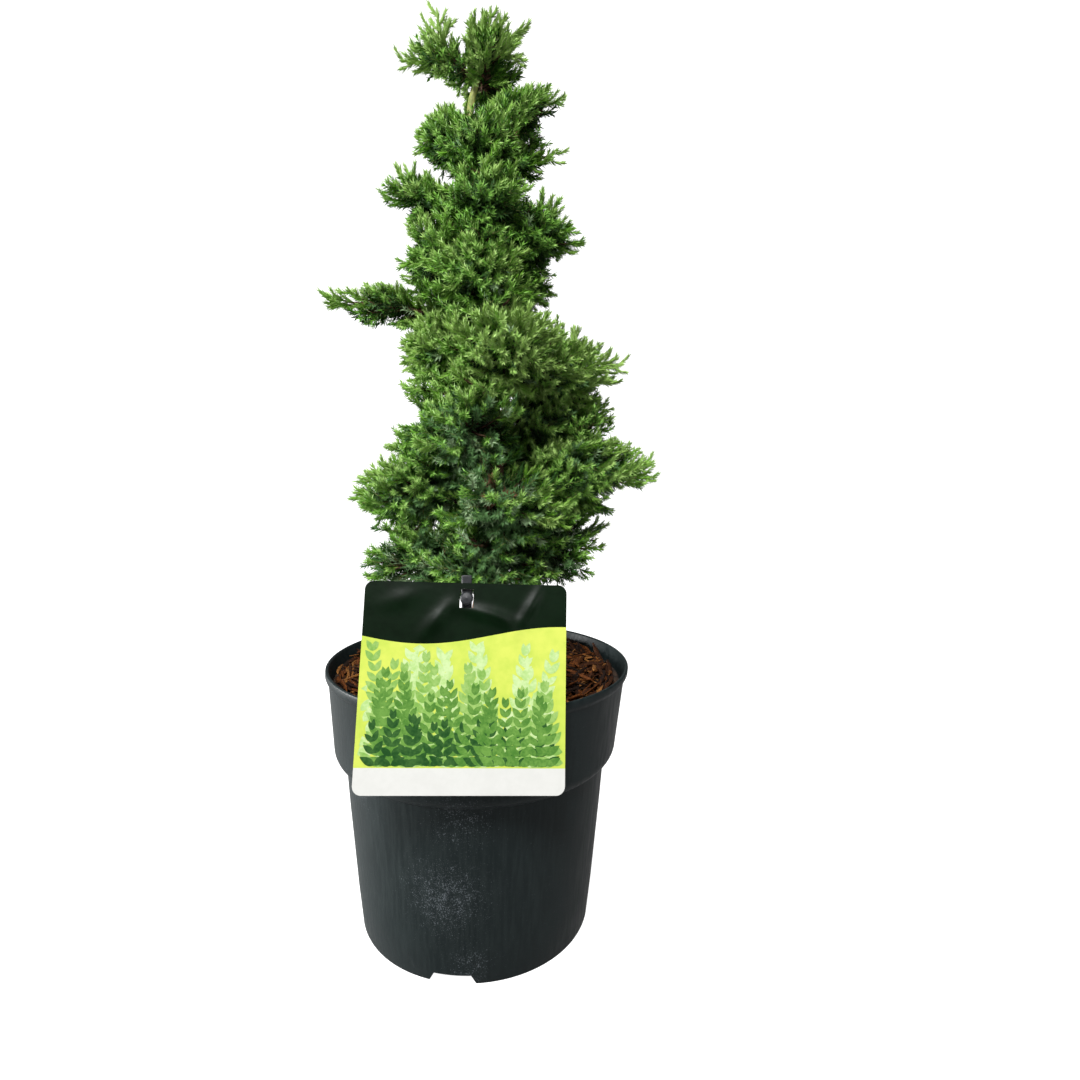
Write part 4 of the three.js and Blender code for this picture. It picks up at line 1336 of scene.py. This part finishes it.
def in_strip(tip):
    """How far shoots lie in the shaded strip, from 0 to 1."""
    middle, height, half_width, half_height = SHADED_STRIP
    across, up = (tip[:, 0] - middle) / half_width, (tip[:, 2] - height) / half_height
    return np.where(tip[:, 1] < SHADED_FROM, np.exp(-(across**2) - up**2), 0)


def odd_kinds(table, strip, random):
    """The odd kind of each shoot, or 0: bluish or silvery where it is shaded and low, and a few dead."""
    tip, tone = table[:, 3:6], table[:, 9]
    draw = random.random(len(table))
    low_down = np.clip((BLUE_TOP - tip[:, 2]) / BLUE_FADE, 0.15, 1)
    shade = np.clip(BLUE_BELOW - tone, 0, 1) * low_down
    near_dead = np.linalg.norm(tip - DEAD_PATCH, axis=1) < DEAD_REACH
    kind = np.zeros(len(table), int)
    kind[draw < BLUE_SHARE * shade + SHADED_BLUE * strip] = BLUE
    kind[draw < SILVER_SHARE * shade + SHADED_SILVER * strip] = SILVER
    kind[draw < np.where(near_dead, DEAD_SHARE, DEAD_ELSEWHERE)] = DEAD
    return kind


def make_foliage(masses):
    """All the foliage, joined by kind: twigs, the shoots' stalks, and needles by tone."""
    growth = Growth()
    for number, mass in enumerate(masses):
        random = np.random.default_rng(FIRST_SEED + SEED_STEP * number)
        grow_mass(growth, mass, masses[number + 1 :], random)
    random = np.random.default_rng(905)
    nodes = ["foliage_" + mass.name for mass in masses]
    table = np.array(growth.shoots)
    make_twigs(growth, nodes)
    make_stalks(table, nodes)
    strip = in_strip(table[:, 3:6])
    table[:, 9] -= SHADED_DARKER * strip
    *needles, level, owner = needle_arrays(table, random)
    tones = np.clip((level * len(NEEDLE_TONES)).astype(int), 0, len(NEEDLE_TONES) - 1)
    odd = odd_kinds(table, strip, random)[owner]
    tones = np.where(odd > 0, odd, tones)
    for index, (name, dark, light, bands) in enumerate(NEEDLE_TONES + NEEDLE_ODDS):
        chosen = np.flatnonzero(tones == index)
        finish = needle_green(name, dark, light, bands)
        pieces = math.ceil(2 * len(chosen) / MOST_TRIANGLES)
        for part, rows in enumerate(np.array_split(chosen, pieces)):
            mesh = needle_mesh(name, *(values[rows] for values in needles))
            add_piece(mesh, f"{name}_{part + 1}", [finish], nodes)


# The label and its peg


def card_to_world():
    """From the card's own frame, x along its foot and y up it, to the plant's, in millimetres."""
    lean = math.radians(CARD_LEAN)
    front = -(BEAD_RADIUS + CARD_RIM_CLEAR) - (BEAD_BASE + 3 - CARD_FOOT) * math.tan(lean) - CARD_THICKNESS
    return (
        Matrix.Translation((CARD_MIDDLE, front, CARD_FOOT))
        @ Matrix.Rotation(math.pi / 2 - lean, 4, "X")
        @ Matrix.Rotation(-math.radians(CARD_TURN), 4, "Z")
    )


def placed(points, matrix):
    """Points through a matrix."""
    matrix = np.array(matrix)
    return np.asarray(points) @ matrix[:3, :3].T + matrix[:3, 3]


def card_bulge(x, y):
    """How far the card's middle stands proud: it creases round the button and rolls at one corner."""
    (from_x, from_y), (run_x, run_y) = CARD_ROLL_FROM, CARD_ROLL_RUN
    proud = CARD_ROLL * np.clip((x - from_x) / run_x, 0, 1) ** 2 * np.clip((y - from_y) / run_y, 0, 1)
    for middle_x, middle_y, bearing, length, width, height in CARD_CREASES:
        angle = math.radians(bearing)
        ahead = (x - middle_x) * math.cos(angle) + (y - middle_y) * math.sin(angle)
        aside = (y - middle_y) * math.cos(angle) - (x - middle_x) * math.sin(angle)
        proud = proud + height * np.exp(-((ahead / length) ** 2) - (aside / width) ** 2)
    return proud


def border_height(x):
    """Height up the card of the border between its green head and its yellow field: one soft wave."""
    return BORDER_HEIGHT + BORDER_WAVE * np.sin(x / 26.0 - 0.6)


def card_grid():
    """How far across and up the card its points lie. The rows follow the borders of its fields."""
    straight = CARD_WIDTH / 2 - CARD_CORNER
    curve = straight + CARD_CORNER * np.sin(np.linspace(0, math.pi / 2, CORNER_POINTS))
    level = np.linspace(-straight, straight, CARD_COLUMNS)[1:-1]
    columns = np.concatenate([-curve[::-1], level, curve])
    inset = np.clip(np.abs(columns) - straight, 0, CARD_CORNER)
    trim = CARD_CORNER - np.sqrt(CARD_CORNER**2 - inset**2)
    borders = [trim, np.full_like(columns, WHITE_BAND), border_height(columns), CARD_HEIGHT - trim]
    rows = [trim]
    for below, above, count in zip(borders, borders[1:], CARD_ROWS):
        rows += [below + (above - below) * share for share in np.linspace(0, 1, count + 1)[1:]]
    heights = np.array(rows)
    return np.broadcast_to(columns, heights.shape), heights


def card_mesh():
    """The card as one sheet with a front, a back and its four edges."""
    x, heights = card_grid()
    sheet = np.stack([x, heights, card_bulge(x, heights)], -1)
    matrix = card_to_world()
    front = placed(sheet + [0, 0, CARD_THICKNESS], matrix)
    back = placed(sheet, matrix)
    high, wide = heights.shape
    row, column = np.meshgrid(np.arange(high - 1), np.arange(wide - 1), indexing="ij")
    corner = row * wide + column
    faces = np.stack([corner, corner + 1, corner + wide + 1, corner + wide], -1).reshape(-1, 4)
    lower = np.arange(wide - 1)
    upper = (high - 1) * wide + lower
    left = np.arange(high - 1) * wide
    right = left + wide - 1
    size = high * wide
    edges = [
        np.stack([edge, edge + size, edge + size + step, edge + step], -1)
        for edge, step in ((lower, 1), (upper + 1, -1), (left + wide, -wide), (right, wide))
    ]
    points = np.concatenate([front.reshape(-1, 3), back.reshape(-1, 3)])
    mesh = mesh_from("label_card", points, np.concatenate([faces, faces[:, ::-1] + size, *edges]))
    field = np.searchsorted(np.cumsum(CARD_ROWS)[:-1], row, side="right").ravel()
    index = np.zeros(len(mesh.polygons), np.int32)
    index[: len(field)] = field
    mesh.polygons.foreach_set("material_index", index)
    return mesh


def glossy_print(name, dark, light, scale):
    """Printed card under a clear film."""
    material, tree, shader, _ = toned(name, 0.30, 0.09, MOTTLE, Dark=dark, Light=light, Scale=scale)
    smear = noise_node(tree, tree.nodes.new("ShaderNodeTexCoord").outputs["Object"], 55.0)
    add_bump(tree, shader, smear.outputs["Fac"], 0.3, 0.6)
    return material


def leaf_outline(length, width):
    """How far up a plain oval leaf with a point its rows lie, and half its width at each."""
    share = np.linspace(0, 1, LEAF_POINTS)
    half = 0.5 * width * np.sin(math.pi * share**0.8) ** 0.9
    return share * length, half


def sprig_shapes(foot, lean, height, leaf, random):
    """A printed sprig: oval leaves in pairs up one line, each a flat strip on the card."""
    strips = []
    pairs = int(height / (0.55 * leaf))
    way = np.array([math.sin(lean), math.cos(lean)])
    for number in range(pairs + 1):
        share = number / pairs
        spot = np.array(foot) + way * height * share
        for hand in (-1, 1):
            angle = lean + hand * (1.05 - 0.6 * share) + random.normal(0, 0.08)
            # The last pair stands nearly upright.
            if number == pairs:
                angle = lean + hand * 0.25
            size = leaf * (1.05 - 0.35 * share) * random.uniform(0.9, 1.1)
            along, half = leaf_outline(size, 0.46 * size)
            ahead = np.array([math.sin(angle), math.cos(angle)])
            side = np.array([math.cos(angle), -math.sin(angle)])
            centre = spot + ahead * along[:, None]
            strips.append(np.stack([centre - side * half[:, None], centre + side * half[:, None]], 1))
    return strips


def on_field(strip):
    """Which rows of a leaf's strip lie in the card's yellow field."""
    x, y = strip[..., 0], strip[..., 1]
    across = (x.max(1) < CARD_WIDTH / 2 - 1) & (x.min(1) > 1 - CARD_WIDTH / 2)
    return across & (y.min(1) > WHITE_BAND + 0.3) & (y.max(1) < border_height(x).min(1) - 0.5)


def sprig_row(level, count, height, leaf, random):
    """A row of printed sprigs that lies just over the card, as points and faces."""
    points, faces = [], []
    for number in range(count):
        x = -SPRIG_SPAN / 2 + SPRIG_SPAN * (number + 0.5) / count + random.normal(0, 1.5)
        foot = (x, WHITE_BAND + 1.5)
        # The sprigs are taller to the left.
        tall = height * random.uniform(0.75, 1.1) * (1.35 - 0.004 * (x + 40))
        for strip in sprig_shapes(foot, random.normal(0, 0.14), tall, leaf, random):
            strip = strip[on_field(strip)]
            if len(strip) < 4:
                continue
            start = sum(len(leaf_points) for leaf_points in points)
            flat = strip.reshape(-1, 2)
            lift = CARD_THICKNESS + card_bulge(flat[:, 0], flat[:, 1]) + PRINT_LIFT + PRINT_STEP * level
            # Each leaf lies a hair over the one before.
            points.append(np.column_stack([flat, lift + 0.0004 * len(points)]))
            faces += [(a, a + 1, a + 3, a + 2) for a in range(start, start + len(flat) - 2, 2)]
    return placed(np.concatenate(points), card_to_world()), faces


def make_label():
    """The label: a green head, a yellow field with printed sprigs, and a white foot."""
    random = np.random.default_rng(58)
    # The white and the yellow are set darker than the card's own colours, as painted shade for the weaker
    # light at the label's height.
    prints = [
        glossy_print("label_white", (0.44, 0.44, 0.42), (0.46, 0.46, 0.44), 60.0),
        glossy_print("label_yellow", (0.33, 0.42, 0.060), (0.42, 0.47, 0.080), 28.0),
        glossy_print("label_green", (0.0006, 0.004, 0.0008), (0.0014, 0.0065, 0.0018), 40.0),
    ]
    card = add_piece(card_mesh(), "label_card_piece", prints, ["label_card"], True)
    half, low = SLOT_WIDTH / 2, CARD_HEIGHT - SLOT_BELOW_EDGE - SLOT_HEIGHT
    section = [(-half, low), (half, low), (half, low + SLOT_HEIGHT), (-half, low + SLOT_HEIGHT)]
    corners = [(x, y, depth) for depth in (SLOT_CUT, -SLOT_CUT) for x, y in section]
    cut(card, block(placed(corners, card_to_world())))
    card.data.set_sharp_from_angle(angle=math.radians(40))

    tints = (
        ("sprig_pale", (0.26, 0.40, 0.13), (0.38, 0.48, 0.24)),
        ("sprig_light", (0.13, 0.26, 0.05), (0.22, 0.34, 0.10)),
        ("sprig_green", (0.045, 0.13, 0.02), (0.10, 0.21, 0.04)),
        ("sprig_dark", (0.010, 0.045, 0.010), (0.030, 0.085, 0.020)),
    )
    # How many sprigs a row has, how tall they are and how long their leaves.
    rows = ((10, 58, 11.0), (12, 46, 10.0), (14, 32, 9.0), (13, 17, 8.5))
    for level, ((name, dark, light), (count, height, leaf)) in enumerate(zip(tints, rows)):
        points, faces = sprig_row(level, count, height, leaf, random)
        finish = glossy_print(name, dark, light, 120.0)
        add_piece(mesh_from(name, points, faces), name, [finish], ["label_card"])


def rounded_box(size, bevel):
    """A closed box about its middle with bevelled edges, as a mesh."""
    x, y, z = (0.5 * side for side in size)
    corners = [(a, b, c) for c in (-z, z) for a, b in ((-x, -y), (x, -y), (x, y), (-x, y))]
    faces = [(3, 2, 1, 0), (4, 5, 6, 7), (0, 1, 5, 4), (1, 2, 6, 5), (2, 3, 7, 6), (3, 0, 4, 7)]
    piece = new_object("box", mesh_from("box", corners, faces))
    edge = piece.modifiers.new("edge", "BEVEL")
    edge.width = bevel * MM
    edge.segments = 3
    mesh = applied(piece).data
    bpy.data.objects.remove(piece)
    return mesh


def make_peg():
    """The peg that stands in the soil and the button that holds the label on it."""
    plastic = mottled("peg_plastic", (0.006, 0.007, 0.008), (0.014, 0.016, 0.018), 300.0, 0.42, bump=0.1)
    matrix = card_to_world()
    spot = placed([(0, SLOT_MIDDLE, 0)], matrix)[0]
    top = np.array([spot[0], spot[1] + PEG_BEHIND + 1.4, PEG_TOP])
    foot = np.array([spot[0], -PEG_OUT, PEG_FOOT])
    length = np.linalg.norm(top - foot)
    lean = math.atan2(top[1] - foot[1], top[2] - foot[2])
    strip = rounded_box((PEG_WIDTH, PEG_THICKNESS, length), 0.6)
    middle = (top + foot) / 2 * MM
    strip.transform(Matrix.Translation(middle) @ Matrix.Rotation(-lean, 4, "X"))
    add_piece(strip, "label_peg_strip", [plastic], ["label_peg"], True)
    face = CARD_THICKNESS + GAP
    profile = [
        (0.01, -PEG_BEHIND - 1.2),
        (PEG_SHANK_RADIUS, -PEG_BEHIND - 1.2),
        (PEG_SHANK_RADIUS, face),
        (PEG_HEAD_RADIUS - 0.4, face),
        (PEG_HEAD_RADIUS, face + 0.5),
        (PEG_HEAD_RADIUS, face + 1.5),
        (PEG_HEAD_RADIUS - 0.9, face + 2.4),
        (0.01, face + 2.7),
    ]
    points, faces = turned(profile, 40)
    points = placed(points + [0, SLOT_MIDDLE, 0], matrix)
    mesh = mesh_from("button", points, faces)
    button = add_piece(mesh, "label_button", [plastic], ["label_peg"], True)
    button.data.set_sharp_from_angle(angle=math.radians(35))


# Floor, lights and camera


def make_stage():
    """A floor that runs up into a wall behind the plant, white to the eye and dim as a source of light."""
    angle = np.linspace(0, math.pi / 2, 17)
    section = [(FLOOR_FRONT, 0), (FLOOR_BACK, 0)]
    for a in angle[1:]:
        section.append((FLOOR_BACK + COVE_RADIUS * math.sin(a), COVE_RADIUS - COVE_RADIUS * math.cos(a)))
    section.append((FLOOR_BACK + COVE_RADIUS, BACKDROP_TOP))
    points = [(x, y, z) for x in (-BACKDROP_HALF_WIDTH, BACKDROP_HALF_WIDTH) for y, z in section]
    count = len(section)
    faces = [(i, i + count, i + count + 1, i + 1) for i in range(count - 1)]
    paper, tree, shader = new_material("pale_paper", 0.9, 0.1)
    shader.inputs["Base Color"].default_value = (0.30, 0.30, 0.30, 1)
    shader.inputs["Emission Strength"].default_value = 1.0
    seen = tree.nodes.new("ShaderNodeLightPath").outputs["Is Camera Ray"]
    tree.links.new(seen, shader.inputs["Emission Color"])
    floor = new_object("floor", mesh_from("floor", points, faces))
    floor.data.materials.append(paper)


def add_light(name, place, target, size, power):
    """A square soft light aimed at a point, all in metres."""
    light = bpy.data.lights.new(name, "AREA")
    light.size = size
    light.energy = power
    lamp = new_object(name, light)
    lamp.location = place
    lamp.rotation_euler = (Vector(target) - Vector(place)).to_track_quat("-Z", "Y").to_euler()


def light_the_scene():
    """Soft studio light: a broad key from the front and above, a weak fill, a top light and a pale sky."""
    add_light("key", (-0.35, -1.35, 1.75), (0, 0, 0.40), 0.5, 71)
    add_light("fill", (0.8, -1.6, 1.1), (0, 0, 0.42), 0.6, 8)
    add_light("top", (0.1, -0.1, 2.2), (0, 0, 0.3), 0.9, 26)
    add_light("rim", (-1.5, 0.1, 0.35), (0, 0, 0.12), 0.6, 66)
    world = bpy.data.worlds.new("sky")
    world.use_nodes = True
    tree = world.node_tree
    seen = tree.nodes.new("ShaderNodeLightPath").outputs["Is Camera Ray"]
    colour = mix_node(tree, seen, (SKY_LIGHT, SKY_LIGHT, SKY_LIGHT), (1, 1, 1))
    tree.links.new(colour, tree.nodes["Background"].inputs["Color"])
    bpy.context.scene.world = world
    bpy.context.scene.view_settings.view_transform = "Standard"


def place_camera():
    """The camera stands at the height of the crown and looks slightly down."""
    pitch, roll, yaw = CAMERA_PITCH, CAMERA_ROLL, CAMERA_YAW
    ahead = Vector((math.sin(yaw) * math.cos(pitch), math.cos(yaw) * math.cos(pitch), -math.sin(pitch)))
    level = Vector((math.cos(yaw), -math.sin(yaw), 0))
    above = level.cross(ahead)
    right = math.cos(roll) * level + math.sin(roll) * above
    upward = -math.sin(roll) * level + math.cos(roll) * above
    lens = bpy.data.cameras.new("camera")
    lens.sensor_width = 36
    lens.sensor_fit = "HORIZONTAL"
    lens.lens = CAMERA_LENS
    camera = new_object("camera", lens)
    turn = Matrix((right, upward, -ahead)).transposed()
    camera.matrix_world = Matrix.Translation(CAMERA_PLACE) @ turn.to_4x4()
    bpy.context.scene.camera = camera


masses = [Mass(name, row) for name, row in MASSES.items()]
for mass in masses:
    mass.meet(masses)
place_camera()
make_pot()
make_root_ball()
make_mulch()
make_limbs(masses)
make_foliage(masses)
make_label()
make_peg()
make_stage()
light_the_scene()
